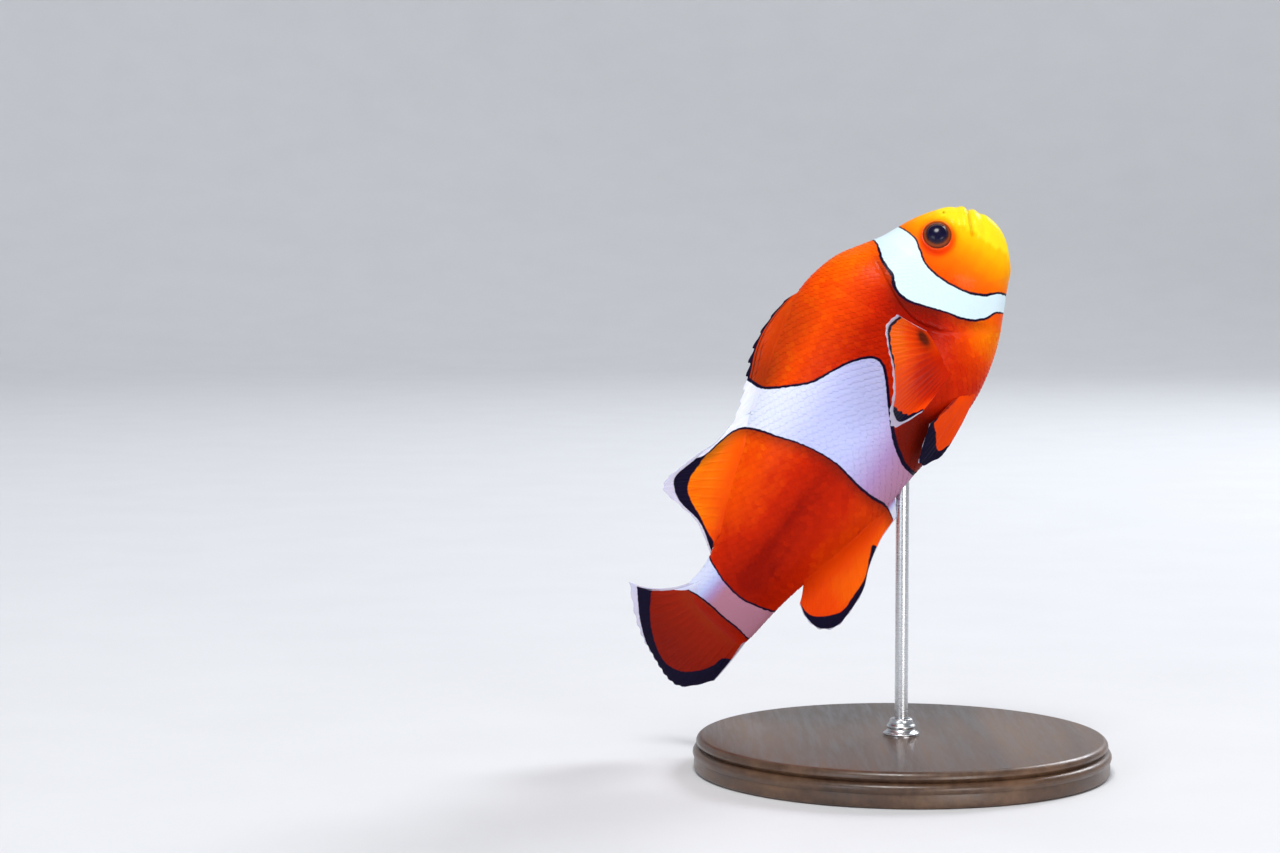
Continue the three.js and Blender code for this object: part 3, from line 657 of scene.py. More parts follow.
def fish_colours():
    """Orange, white and black from the layers that skin, scales and fins carry."""
    tree, given, out = group(
        "fish colours", dict(Mottle=0.08, Jag=0.22), dict(Color="Color", Rim="Float"))
    wobble = maths(tree, "SUBTRACT", noise(tree, 1500, 1), 0.5)
    jag = maths(tree, "MULTIPLY", wobble, given["Jag"])

    def jagged(name, low, high):
        return mapped(tree, maths(tree, "ADD", layer(tree, name), jag), low, high)

    coarse = maths(tree, "SUBTRACT", noise(tree, 260, 4), 0.5)
    mottle = maths(tree, "MULTIPLY", coarse, given["Mottle"])
    lengthwise = stretched(tree, (9, 1, 1), (0, math.radians(-SPINE.value(20)), 0), "TEXTURE")
    streaks = maths(tree, "SUBTRACT", noise(tree, 1100, 2, 0.5, lengthwise), 0.5)
    tone = maths(tree, "ADD", layer(tree, "tone"), mottle)
    tone = maths(tree, "ADD", tone, maths(tree, "MULTIPLY", streaks, 0.07))
    # Dusk holds the fish's own dusky tints and painted shade alike
    dusk = maths(tree, "ADD", layer(tree, "dusk"), maths(tree, "MULTIPLY", coarse, 0.1), clamp=True)
    color = blended(tree, dusk, ramp(tree, tone, ORANGES), DUSK_AND_SHADE)
    color = blended(tree, jagged("black", -0.12, 0.08), color, LINE_BLACK)
    # The whites, with their painted shade
    white = ramp(tree, layer(tree, "blush"), WHITE_TINTS_AND_SHADE)
    color = blended(tree, jagged("white", -0.05, 0.05), color, white)
    rim = jagged("rim", -0.08, 0.08)
    feed_all(tree, out, dict(Color=blended(tree, rim, color, RIM_WHITE), Rim=rim))
    return tree


def wet_grain():
    """Roughness and bump height of wet skin, with a fine grain over a coarse one."""
    tree, given, out = group(
        "wet grain", dict(Smoothest=0.28, Spread=0.18, Fine=2600, Coarse=0),
        dict(Roughness="Float", Height="Float"))
    spread = maths(tree, "MULTIPLY", noise(tree, 900, 2), given["Spread"])
    coarse = maths(tree, "MULTIPLY", noise(tree, 700, 2), given["Coarse"])
    feed_all(tree, out, dict(
        Roughness=maths(tree, "ADD", spread, given["Smoothest"]),
        Height=maths(tree, "ADD", noise(tree, given["Fine"], 2), coarse),
    ))
    return tree


FISH_COLOURS = fish_colours()
WET_GRAIN = wet_grain()
WET_SHINE = {"Specular IOR Level": 0.02}
FLESH = {
    "Subsurface Weight": 0.12, "Subsurface Radius": (1.0, 0.35, 0.15), "Subsurface Scale": 0.0008,
}
MEMBRANE_GLOW = {
    "Subsurface Weight": 0.15, "Subsurface Radius": (1.0, 0.4, 0.15), "Subsurface Scale": 0.0006,
}


def shine(shader, *finishes):
    """Sets the values that are the same all over a surface."""
    for finish in finishes:
        for label, value in finish.items():
            shader.inputs[label].default_value = value


def wet_material(name, grain_values, colour_values):
    """A material with the fish's colours and a wet grain, and the ends left open for more."""
    made, tree, shader = material(name)
    colours = placed(tree, FISH_COLOURS, **colour_values)
    grain = placed(tree, WET_GRAIN, **grain_values)
    tree.links.new(colours["Color"], shader.inputs["Base Color"])
    tree.links.new(grain["Roughness"], shader.inputs["Roughness"])
    return made, tree, shader, colours["Rim"], grain["Height"]


def skin_material():
    made, tree, shader, _, height = wet_material("wet_skin", dict(Coarse=0.7), {})
    shine(shader, WET_SHINE, FLESH, {"Coat Weight": 0.07, "Coat Roughness": 0.12})
    bumped(tree, shader, height, 0.00004, 0.5)
    return made


def scale_material():
    made, tree, shader, _, height = wet_material("scales", dict(Smoothest=0.26), {})
    shine(shader, WET_SHINE, FLESH, {"Coat Weight": 0.04, "Coat Roughness": 0.18})
    bumped(tree, shader, height, 0.00003, 0.5)
    return made


def fin_material():
    made, tree, shader, rim, height = wet_material(
        "fin_membrane", dict(Smoothest=0.3, Spread=0.2, Fine=2200), dict(Mottle=0.1, Jag=0.16))
    shine(shader, WET_SHINE, MEMBRANE_GLOW, {"Coat Weight": 0.06, "Coat Roughness": 0.12})
    tree.links.new(mapped(tree, rim, 0, 1, 1, 0.6), shader.inputs["Alpha"])
    joints = node(tree, "TexWave", wave_type="BANDS", bands_direction="X")
    joints.inputs["Scale"].default_value = 0.8
    along = node(tree, "CombineXYZ")
    tree.links.new(layer(tree, "reach"), along.inputs[0])
    tree.links.new(along.outputs[0], joints.inputs["Vector"])
    on_rays = maths(tree, "MULTIPLY", joints.outputs["Fac"], layer(tree, "ray"))
    segments = maths(tree, "MULTIPLY", on_rays, 0.45)
    bumped(tree, shader, maths(tree, "ADD", segments, height), 0.00004, 0.6)
    return made


# ------------------------------------------------------------------ skin
# Share of the skin's rows against body row, so that the head gets most of them
SKIN_ROWS = [(0, 0), (0.08, 2), (0.34, 7), (0.68, 12), (1, BODY_END)]
SKIN_GRID = (284, 330)
# The rows near the gill cover's rim follow it: s of its middle and how far they do
GILL_MIDDLE = 15.6
GILL_FOLLOW = 7.0
GILL_FITS = 4
# Share of the skin's rows where its end starts to close, inside the tail fin's root
TAIL_CLOSE = 0.985
TAIL_CLOSE_LENGTH = 1.4


def skin_rule(across, along):
    a = across * TURN
    rows = np.interp(along, *zip(*SKIN_ROWS))
    level = BODY.at_row(rows)[:, 0]
    u = rows
    for _ in range(GILL_FITS):
        h = smooth_skin(u, a)[:, 1]
        shift = (GILL_RIM.value(h) - GILL_MIDDLE) * bell(level - GILL_MIDDLE, GILL_FOLLOW)
        u = BODY.row(level + shift * smoothstep(level, 0, 3))
    u = np.where(level < 1e-9, 0, u)
    points = on_skin(u, a)
    layers = markings(points)
    closing = np.clip((along - TAIL_CLOSE) / (1 - TAIL_CLOSE), 0, 1)
    points[:, 2] *= np.sqrt(np.maximum(1 - closing ** 2, 0))
    points[:, 0] += closing * TAIL_CLOSE_LENGTH
    layers["rim"] = np.full(len(a), -FAR)
    return points, layers


skin = woven("skin", *SKIN_GRID, skin_rule)
fitted(skin, skin_material(), "skin", "head", "torso", "tail_stalk")

# ------------------------------------------------------------------ scales
# Distance between two rows and between two scales of a row, a scale's length and width, all
# for a scale of size 1, and how much narrower its root is
SCALE_STEP = 0.62
SCALE_PITCH = 1.15
SCALE_LENGTH = 1.5
SCALE_WIDTH = 1.3
SCALE_TAPER = 0.12
SCALE_SIZE = Run([(8, 0.62), (12, 0.68), (18, 0.85), (24, 1.0), (60, 1.0), (66, 0.85), (72, 0.75)])
SCALES_START, SCALES_END = 6.2, 69.6
# Height over the skin of a scale's two ends, its crown and its underside, and how much lower
# the first scales behind the face lie
SCALE_ENDS = (-0.14, 0.1)
SCALE_CROWN = 0.06
SCALE_UNDERSIDE = -0.16
SCALES_RISE = (6, 13)
SCALES_SUNK = 0.13
# How much single scales differ: turn, length and tone
SCALE_TURN, SCALE_STRETCH, SCALE_TONE = 0.05, 0.03, 0.02
# Bare skin: round the eye, at the gill cover's rim, on the throat and on the snout
BARE_EYE = 3.3
BARE_RIM = dict(ahead=0.4, behind=0.7, low=(-11.5, -8), high=(9, 12))
BARE_THROAT = dict(h=-6.5, s=11.5)
BARE_SNOUT = dict(s=7.7, slope=0.5, top=5)
# The coat's flat layout: s at its far edge, its margin and the half width of a scale on it
LAYOUT_LENGTH = 72
LAYOUT_EDGE = 0.01
LAYOUT_PATCH = 0.0015


def scale_rows():
    """Every scale of the right flank as s, size, row, angle and place on the arc from the back,
    and for each row how that arc runs with the angle."""
    angles = np.linspace(-1, math.pi + 1, 700)
    s = SCALES_START
    roots, arcs = [], []
    while s < SCALES_END:
        size = float(SCALE_SIZE.value(s))
        ring = smooth_skin(np.full_like(angles, BODY.row(s)), angles)
        arc = np.append(0, np.cumsum(np.linalg.norm(np.diff(ring, axis=0), axis=1)))
        arc -= np.interp(0, angles, arc)
        half = np.interp(math.pi, angles, arc)
        count = round(half / (SCALE_PITCH * size))
        places = np.arange(count) + 0.5 if len(arcs) % 2 else np.arange(count + 1)
        for place in places * half / count:
            roots.append((s, size, len(arcs), np.interp(place, arc, angles), place))
        arcs.append(arc)
        s += SCALE_STEP * size
    return np.array(roots), angles, arcs


def clear_of_openings(roots):
    s, size, _, a, _ = roots.T
    h = smooth_skin(BODY.row(s), a)[:, 1]
    length = SCALE_LENGTH * size
    middle = s + length / 2
    past_rim = middle - GILL_RIM.value(h)
    covered = smoothstep(h, *BARE_RIM["low"]) * (1 - smoothstep(h, *BARE_RIM["high"])) > 0.05
    at_rim = covered & (past_rim > -BARE_RIM["ahead"] * length) & (past_rim < BARE_RIM["behind"])
    throat = (h < BARE_THROAT["h"]) & (s < BARE_THROAT["s"])
    snout = middle < BARE_SNOUT["s"] + BARE_SNOUT["slope"] * np.minimum(h, BARE_SNOUT["top"])
    return roots[(away_from(EYE, middle, h) > BARE_EYE) & ~at_rim & ~throat & ~snout]


def scale_form():
    """One scale as a flat disc with a raised middle."""
    bm = bmesh.new()
    bmesh.ops.create_cone(
        bm, segments=12, radius1=1, radius2=1, depth=2, cap_ends=True, cap_tris=False)
    top = [face for face in bm.faces if face.normal.z > 0.5]
    bmesh.ops.poke(bm, faces=top)
    corners = np.array([vertex.co for vertex in bm.verts])
    faces = [[vertex.index for vertex in face.verts] for face in bm.faces]
    bm.free()
    return corners, faces


def scale_coat(name, roots, angles, arcs, side, seed):
    """All the scales of one side as one mesh."""
    chance = np.random.default_rng(seed)
    corners, form_faces = scale_form()
    count, each = len(roots), len(corners)
    s0, size, row, a0, place = (column[:, None] for column in roots.T)
    turn = chance.normal(0, SCALE_TURN, (count, 1))
    x, y, z = corners.T
    length = SCALE_LENGTH * size * chance.normal(1, SCALE_STRETCH, (count, 1))
    along = (x + 1) / 2 * length
    across = y * SCALE_WIDTH / 2 * size * (1 - SCALE_TAPER * (x < -0.5))
    along, across = along + across * turn, across - (along - length / 2) * turn
    top = mix(*SCALE_ENDS, along / length) + SCALE_CROWN * (1 - np.hypot(x, y))
    top = top - SCALES_SUNK * (1 - smoothstep(s0, *SCALES_RISE))
    lift = np.where(z > 0, top, SCALE_UNDERSIDE) * size
    a = np.zeros((count, each))
    for k, arc in enumerate(arcs):
        here = row[:, 0] == k
        a[here] = np.interp(place[here] + across[here], arc, angles)
    if side < 0:
        a, a0 = TURN - a, TURN - a0
    a = a.ravel()
    s = (s0 + along).ravel()
    points = on_skin(BODY.row(np.minimum(s, TAIL_ROOT)), a, lift.ravel())
    points[:, 0] += np.maximum(s - TAIL_ROOT, 0)
    layers = markings(points)
    layers["rim"] = np.full(len(a), -FAR)
    layers["tone"] += np.repeat(chance.normal(0, SCALE_TONE, count), each)
    starts = np.arange(count)[:, None] * each
    faces = [face for form_face in form_faces for face in (starts + form_face).tolist()]
    mesh = bpy.data.meshes.new(name)
    mesh.from_pydata((posed(points) * MM).tolist(), [], faces)
    add_layers(mesh, layers)
    layout = np.stack(np.broadcast_arrays(
        mix(LAYOUT_EDGE, 1 - LAYOUT_EDGE, s0 / LAYOUT_LENGTH) + x * LAYOUT_PATCH,
        mix(LAYOUT_EDGE, 1 - LAYOUT_EDGE, a0 / TURN) + y * LAYOUT_PATCH,
    ), -1).reshape(-1, 2)
    corner_of = np.zeros(len(mesh.loops), np.int32)
    mesh.loops.foreach_get("vertex_index", corner_of)
    bake = mesh.uv_layers.new(name="OFBake")
    bake.data.foreach_set("uv", layout[corner_of].astype(np.float32).ravel())
    bm = bmesh.new()
    bm.from_mesh(mesh)
    bpy.data.meshes.remove(mesh)
    return finish_mesh(name, bm, sharp=50)


roots, angles, arcs = scale_rows()
roots = clear_of_openings(roots)
# The scales astride the back and the belly belong to the right side
off_midline = (roots[:, 3] > 1e-6) & (roots[:, 3] < math.pi - 1e-6)
scales_look = scale_material()
for side_name, side, own in (("right", 1, roots), ("left", -1, roots[off_midline])):
    coat = scale_coat(f"scales_{side_name}", own, angles, arcs, side, 20 + side)
    fitted(coat, scales_look, "skin")

# ------------------------------------------------------------------ fins
# A fin's table has one row a place along its root, for the ray there: root (s, h, w),
# pull of its bow (s, h, w), tip (s, h, w).
ROOT_SINK = 0.25


def middle_fin(rows, edge, sink, bow):
    """Full rows for a middle fin from s of the root and s, h, w of the tip."""
    table = []
    for s, tip_s, tip_h, tip_w in rows:
        h = float(BODY.at(s)[edge]) + sink
        pull_s = (s + tip_s) / 2 + (h - tip_h) * bow
        pull_h = (h + tip_h) / 2 + (tip_s - s) * bow
        table.append((s, h, 0, pull_s, pull_h, tip_w / 2, tip_s, tip_h, tip_w))
    return table


SPINY_DORSAL = middle_fin([
    (23.2, 25.6, 18.1, 0), (25.0, 29.0, 18.6, 0), (27.2, 32.6, 18.55, 0), (29.6, 35.6, 17.9, 0),
    (32.2, 38.0, 16.9, 0), (35.0, 40.4, 16.0, 0), (38.2, 42.7, 15.3, 0), (41.8, 45.3, 14.8, 0),
], BACK, -ROOT_SINK, 0.06)
SOFT_DORSAL = middle_fin([
    (41.6, 45.6, 15.0, 0.1), (43.8, 48.7, 15.4, 0.3), (46.2, 51.6, 16.6, 0.5),
    (48.6, 54.6, 17.5, 0.6), (51.0, 57.5, 18.2, 0.6), (53.2, 59.4, 17.5, 0.5),
    (55.4, 59.8, 14.2, 0.3), (57.6, 60.4, 10.9, 0.1), (60.2, 63.3, 6.6, 0),
], BACK, -ROOT_SINK, 0.05)
ANAL = middle_fin([
    (40.6, 43.1, -12.2, 0), (43.4, 46.9, -12.1, 0.1), (46.2, 50.8, -12.9, 0.3),
    (48.4, 54.2, -14.2, 0.5), (50.6, 57.8, -14.5, 0.6), (52.8, 60.7, -14.2, 0.6),
    (54.8, 62.3, -12.4, 0.4), (56.6, 62.2, -10.0, 0.2), (58.2, 61.2, -8.0, 0),
], BELLY, ROOT_SINK, -0.05)
CAUDAL = [
    (s, h, 0, (s + tip_s) / 2 + 2.1 * hollow, (h + tip_h) / 2 - 0.7 * hollow, tip_w / 2,
     tip_s, tip_h, tip_w)
    for s, h, tip_s, tip_h, tip_w, hollow in (
        (69.1, 6.1, 79.8, 12.4, -0.4, 1), (70.8, 4.8, 82.5, 8.5, 0.2, 0),
        (71.0, 3.3, 84.3, 5.1, 0.5, 0), (71.1, 1.7, 85.3, 2.3, 0.6, 0),
        (71.1, 0.1, 85.9, -0.4, 0.5, 0), (71.0, -1.6, 85.8, -2.9, 0.3, 0),
        (70.8, -3.4, 84.2, -5.0, 0.1, 0), (70.0, -5.5, 79.2, -6.9, -0.2, 0),
    )
]
# Paired fins, right side: root (s, h), then the bow's pull and the tip, with w from the flank
PECTORAL_SINK = 0.2
PECTORAL = []
for s, h, pull_s, pull_h, pull_w, tip_s, tip_h, tip_w in (
    (18.9, -0.9, 18.8, 1.8, 4.0, 19.0, 3.8, 8.9),
    (19.3, -1.9, 20.2, 1.8, 5.6, 21.2, 4.3, 12.3),
    (19.8, -2.9, 21.6, 0.6, 6.6, 23.4, 2.6, 13.8),
    (20.4, -3.9, 23.0, -1.2, 7.0, 25.4, 0.6, 14.0),
    (21.0, -4.8, 24.4, -2.9, 7.0, 28.2, -1.4, 13.6),
    (21.6, -5.7, 25.6, -4.4, 6.6, 31.0, -2.7, 12.5),
    (22.0, -6.5, 26.0, -5.8, 5.8, 31.9, -4.3, 10.5),
    (22.3, -7.2, 25.4, -7.0, 4.4, 28.4, -6.4, 7.6),
):
    w = flank_width(s, h) - PECTORAL_SINK
    PECTORAL.append((s, h, w, pull_s, pull_h, w + pull_w, tip_s, tip_h, w + tip_w))
PELVIC = [
    (23.4, -11.8, 2.2, 27.0, -12.5, 3.2, 30.4, -12.6, 3.4),
    (23.7, -11.5, 2.7, 28.2, -12.2, 4.2, 32.5, -12.4, 4.0),
    (24.0, -11.1, 3.2, 29.0, -11.5, 5.3, 34.6, -11.1, 4.9),
    (24.3, -10.6, 3.8, 29.2, -10.7, 6.4, 34.5, -10.1, 6.0),
    (24.6, -10.1, 4.3, 28.7, -9.9, 7.1, 32.1, -9.2, 7.0),
    (24.8, -9.7, 4.8, 27.4, -9.2, 7.4, 29.2, -8.4, 7.8),
]
# Half thickness of the web, and the lift and width of a ray at its root and its tip
WEB = 0.09
RAY_LIFT = (0.085, 0.045)
RAY_WIDTH = (0.2, 0.09)
# Where a ray forks: how far its branches part, in ray spacings, and over which reach
FORKS = [(0.24, (0.3, 0.8)), (0.11, (0.6, 1.0))]
# How far a fin's wave turns from its first ray to its last, in radians
WAVE_TURN = 9
# Share of a fin's rows inside the body, of those where it closes, and of its web where its
# sides and its edge round off
ROOT_ROWS = 0.12
ROOT_CLOSE = 0.12
ROUNDED = 0.02


def fin_rule(table, rays, colours, sheath, side=1, wave=0.0, notch=0.02, sunk=1.6, branch=1.0):
    """The rule for one fin: a flat bag of two faces whose rays stand out of both, and whose
    root swells into the body as its sheath says."""
    table = Run(table)
    last = len(table.rows) - 1
    spacing = 1 / (rays - 1)

    def middle(share, v):
        row = table.at_row(np.clip(share, 0, 1) * last)
        root, pull, tip = row[:, :3], row[:, 3:6], row[:, 6:]
        v = v[:, None]
        point = root * (1 - v) ** 2 + pull * 2 * v * (1 - v) + tip * v * v
        point[:, 2] += wave * np.sin(share * WAVE_TURN) * v[:, 0] ** 2
        return point * (1, 1, side)

    def ray_height(place, v, wide):
        """How far each point is up a ray, with place in ray spacings."""
        first, second = (part * smoothstep(v, *over) * branch for part, over in FORKS)
        ray = np.zeros_like(v)
        for left in (-1, 1):
            for right in (-1, 1):
                centre = np.round(place) + left * first + right * second
                across = (place - centre) * spacing * wide
                ray = np.maximum(ray, bell(across, mix(*RAY_WIDTH, v)))
        return ray

    def rule(turn, along):
        share = 1 - np.abs(2 * turn - 1)
        face = np.where(turn < 0.5, 1.0, -1.0)
        v = np.clip((along - ROOT_ROWS) / (1 - ROOT_ROWS), 0, 1)
        place = share / spacing
        between = np.abs(place - np.round(place)) * 2
        v = v * (1 - notch * smoothstep(between, 0.1, 0.9) * smoothstep(v, 0.5, 1))
        root, tip = np.zeros_like(v), np.ones_like(v)
        point = middle(share, v)
        up = middle(share, np.minimum(v + NEAR, 1)) - middle(share, np.maximum(v - NEAR, 0))
        over = middle(np.minimum(share + NEAR, 1), v) - middle(np.maximum(share - NEAR, 0), v)
        out = unit(np.cross(unit(up), unit(over)))
        reach = np.linalg.norm(middle(share, tip) - middle(share, root), axis=1)
        at_side = (share < NEAR) | (share > 1 - NEAR)
        wide = np.linalg.norm(over, axis=1) / np.where(at_side, NEAR, 2 * NEAR)
        ray = ray_height(place, v, wide)
        from_side = np.minimum(share, 1 - share)
        rounding = np.sqrt(1 - (1 - np.clip(from_side / ROUNDED, 0, 1)) ** 2)
        edge = np.sqrt(np.clip((1 - along) / ROUNDED, 0, 1))
        shown = np.clip(along / ROOT_ROWS, 0, 1)
        inward = -unit(middle(share, root + NEAR) - middle(share, root))
        point = point + inward * (sunk * (1 - shown))[:, None]
        half = WEB * mix(1, 0.5, v) + mix(*RAY_LIFT, v) * ray * smoothstep(v, 0, 0.35)
        half = half + sheath(point, share) * (1 - v) ** 2
        half = half * rounding * edge * np.sqrt(np.clip(shown / ROOT_CLOSE, 0, 1))
        point = point + out * (half * face)[:, None]
        layers = markings(point * (1, 1, side), margins=True)
        layers.update(ray=ray, reach=v * reach, rim=np.full(len(v), -FAR))
        colours(layers, share, v, (1 - v) * reach, from_side * wide)
        return point, layers

    return rule


# The colours of each fin, over those that it shares with the body. to_tip and to_side are
# millimetres to the fin's free edge and to its nearer side.
def spiny_colours(layers, share, v, to_tip, to_side):
    """A black edge, and dark folds over an olive web."""
    outer = smoothstep(v, 0.1, 0.6)
    later = smoothstep(share, 0.3, 0.5)
    folds = 0.7 * bell(to_tip - 1.9, 0.2) + 0.6 * bell(to_tip - 3.0, 0.2) * later
    folds += 0.6 * bell(to_tip - 4.3, 0.22) * later
    olive = 0.28 + 0.24 * smoothstep(share, 0.3, 0.9) + 0.16 * layers["ray"]
    layers["dusk"] = np.maximum(layers["dusk"], np.minimum(folds + olive, 0.95) * outer)
    layers["black"] = np.maximum(layers["black"], 1.3 - to_tip)


SOFT_RIM = Run([(0, 0.5), (0.2, 0.6), (0.3, 1.1), (0.4, 1.0), (0.5, 1.3), (0.6, 1.8),
                (0.66, 1.4), (0.72, 0.7), (0.8, 0.45), (1, 0.4)])


def soft_colours(layers, share, v, to_tip, to_side):
    """A pale rim outside the black margin."""
    layers["rim"] = SOFT_RIM.value(share) - to_tip
    layers["tone"] += 0.1 * (1 - smoothstep(to_tip, 1.5, 6))


def anal_colours(layers, share, v, to_tip, to_side):
    """A fine pale rim and a white leading edge."""
    layers["rim"] = 0.22 - to_tip
    layers["white"] = np.maximum(layers["white"], np.where(share < 0.5, 1.0 - to_side, -FAR))
    # Less painted shade on the white leading edge further out
    layers["blush"] -= 0.6 * smoothstep(v, 0, 0.5)
    layers["tone"] += 0.04 * smoothstep(v, 0, 0.7)


CAUDAL_RIM = Run([(0, 1.9), (0.08, 1.45), (0.16, 1.05), (0.3, 0.6), (0.45, 0.25), (1, 0.15)])


def caudal_colours(layers, share, v, to_tip, to_side):
    """Painted shade makes it dark red-brown and keeps the white on its lower edge narrow; its white
    rim is widest at the upper corner.
    """
    layers["rim"] = np.maximum(CAUDAL_RIM.value(share) - to_tip, 0.42 - to_side)
    upper = np.where(share < 0.5, 1.2 * (1 - smoothstep(v, 0, 0.45)) - to_side, -FAR)
    # Narrower white along the lower edge: painted shade
    lower = np.where(share > 0.5, 0.5 * (1 - smoothstep(v, 0, 0.3)) - to_side, -FAR)
    layers["white"] = np.maximum(layers["white"], np.maximum(upper, lower))
    # Painted shade: dark red-brown all over the fin
    layers["tone"] = 0.1 + 0.26 * bell(v, 0.4) - 0.04 * bell(v - 0.75, 0.3)
    layers["dusk"] = np.maximum(layers["dusk"], 0.4 + 0.12 * bell(v, 0.35))


PECTORAL_RIM = Run([(0, 1.1), (0.1, 1.1), (0.2, 0.75), (0.3, 0.45), (0.4, 0.6), (0.5, 0.65),
                    (0.6, 0.85), (0.7, 0.95), (0.8, 1.3), (0.9, 1.1), (1, 0.5)])
PECTORAL_BLACK = Run([(0, 0.7), (0.1, 1.1), (0.2, 0.9), (0.3, 0.75), (0.4, 0.5),
                      (0.48, -0.15), (0.62, -0.2), (0.68, 0.5), (0.74, 1.2), (0.82, 1.7),
                      (0.9, 1.4), (1, 0.3)])


def pectoral_colours(layers, share, v, to_tip, to_side):
    """A black margin in lobes inside a pale rim, a dark patch near the root, and painted shade on
    its lower part and between its rays.
    """
    rim = PECTORAL_RIM.value(share)
    layers["rim"] = np.maximum(rim - to_tip, np.where(share < 0.5, 0.2 - to_side, -FAR))
    layers["white"] = np.full(len(v), -FAR)
    layers["black"] = rim + PECTORAL_BLACK.value(share) - to_tip - 0.16 * np.cos(15 * TURN * share)
    tone = 0.36 + 0.22 * smoothstep(v, 0.15, 0.75) + 0.05 * bell(share - 0.2, 0.2)
    # Painted shade: the lower middle of the fin and its lower rays darker
    tone -= 0.14 * smoothstep(share, 0.35, 0.65) * bell(v - 0.45, 0.3)
    tone -= 0.07 * smoothstep(share, 0.3, 0.6)
    # Painted shade in the web between the rays near the root
    between = 1 - layers["ray"]
    layers["tone"] = tone - 0.12 * between * smoothstep(v, 0.05, 0.3) * (1 - v)
    layers["dusk"] = np.minimum(1.4 * bell(v - 0.17, 0.1) * bell(share - 0.2, 0.13), 0.92)


PELVIC_BLACK = Run([(0, 0.9), (0.1, 1.3), (0.2, 1.9), (0.3, 2.0), (0.4, 2.9), (0.5, 3.5),
                    (0.6, 3.8), (0.7, 3.5), (0.8, 2.8), (0.9, 1.7), (1, 0.8)])


def pelvic_colours(layers, share, v, to_tip, to_side):
    """A black tip and rear edge."""
    layers["white"] = np.full(len(v), -FAR)
    layers["rim"] = 0.1 - to_tip
    layers["black"] = np.maximum(
        PELVIC_BLACK.value(share) - to_tip,
        np.where(share > 0.5, 0.5 * smoothstep(v, 0.55, 0.85) - to_side, -FAR))
    layers["tone"] = np.full(len(v), 0.46)
    layers["dusk"] = np.zeros(len(v))


def fillet(edge, share_of_body, run):
    """The swelling of a middle fin's root, from the body's half width under it: it runs out
    above the back, or below the belly, over run times that width."""
    def swelling(point, share):
        row = BODY.at(point[:, 0])
        half, above = row[:, HALF_WIDTH], np.abs(point[:, 1]) - np.abs(row[:, edge])
        rise = mix(0.35, 1, smoothstep(share, 0, 0.3))
        return share_of_body * rise * half * np.exp(-above / (run * half))
    return swelling


def tail_fillet(point, share):
    return 1.2 * np.exp((70 - point[:, 0]) / 3) * np.sqrt(1 - (2 * share - 1) ** 2)


def paired_fillet(point, share):
    return np.full(len(share), 0.3)


fin_look = fin_material()


def fin(name, solid, columns, rows, **form):
    """Makes one fin, in place of its solid."""
    piece = woven(name, columns, rows, fin_rule(**form), sharp=80)
    fitted(piece, fin_look, "fin", solid)


fin("fin_dorsal_spiny", "dorsal_fin_spiny", 420, 48, table=SPINY_DORSAL, rays=10,
    colours=spiny_colours, notch=0.12, branch=0, sunk=0.9, sheath=fillet(BACK, 0.16, 0.3))
fin("fin_dorsal_soft", "dorsal_fin_soft", 364, 90, table=SOFT_DORSAL, rays=14,
    colours=soft_colours, wave=0.25, sheath=fillet(BACK, 0.3, 1))
fin("fin_anal", "anal_fin", 336, 84, table=ANAL, rays=13,
    colours=anal_colours, wave=0.25, sheath=fillet(BELLY, 0.3, 1))
fin("fin_caudal", "caudal_fin", 420, 110, table=CAUDAL, rays=15,
    colours=caudal_colours, wave=0.3, sunk=1.8, sheath=tail_fillet)
for side_name, side in (("right", 1), ("left", -1)):
    fin(f"fin_pectoral_{side_name}", f"pectoral_fin_{side_name}", 390, 90, table=PECTORAL, rays=16,
        colours=pectoral_colours, side=side, sheath=paired_fillet)
    fin(f"fin_pelvic_{side_name}", f"pelvic_fin_{side_name}", 150, 80, table=PELVIC, rays=6,
        colours=pelvic_colours, side=side, notch=0.03, sheath=paired_fillet)


# ------------------------------------------------------------------ eyes
# The iris' colours against millimetres from the middle of the eye
IRIS = [
    (0.0, (0.004, 0.003, 0.022)),
    (1.3, (0.006, 0.004, 0.026)),
    (1.45, (0.03, 0.008, 0.018)),
    (1.575, (0.1, 0.02, 0.007)),
    (1.725, (0.26, 0.048, 0.004)),
    (1.9, (0.19, 0.026, 0.003)),
    (2.1, (0.03, 0.008, 0.003)),
]
IRIS_SPAN = 2.5
PUPIL_BULGE = dict(lift=0.13, edge=(1.14, 1.42))
IRIS_GROOVE = dict(depth=0.05, radius=1.64, width=0.24)


def eye_material():
    made, tree, shader = material("eye_wet")
    streaks = maths(tree, "SUBTRACT", noise(tree, 1400, 3), 0.5)
    reading = maths(tree, "ADD", layer(tree, "radial"), maths(tree, "MULTIPLY", streaks, 0.14))
    stops = [(radius / IRIS_SPAN, color) for radius, color in IRIS]
    color = ramp(tree, maths(tree, "DIVIDE", reading, IRIS_SPAN), stops)
    tree.links.new(color, shader.inputs["Base Color"])
    shine(shader, {
        "Roughness": 0.2, "Specular IOR Level": 0.15, "Coat Weight": 0.22, "Coat Roughness": 0.06,
    })
    bumped(tree, shader, streaks, 0.00003, 0.4)
    return made


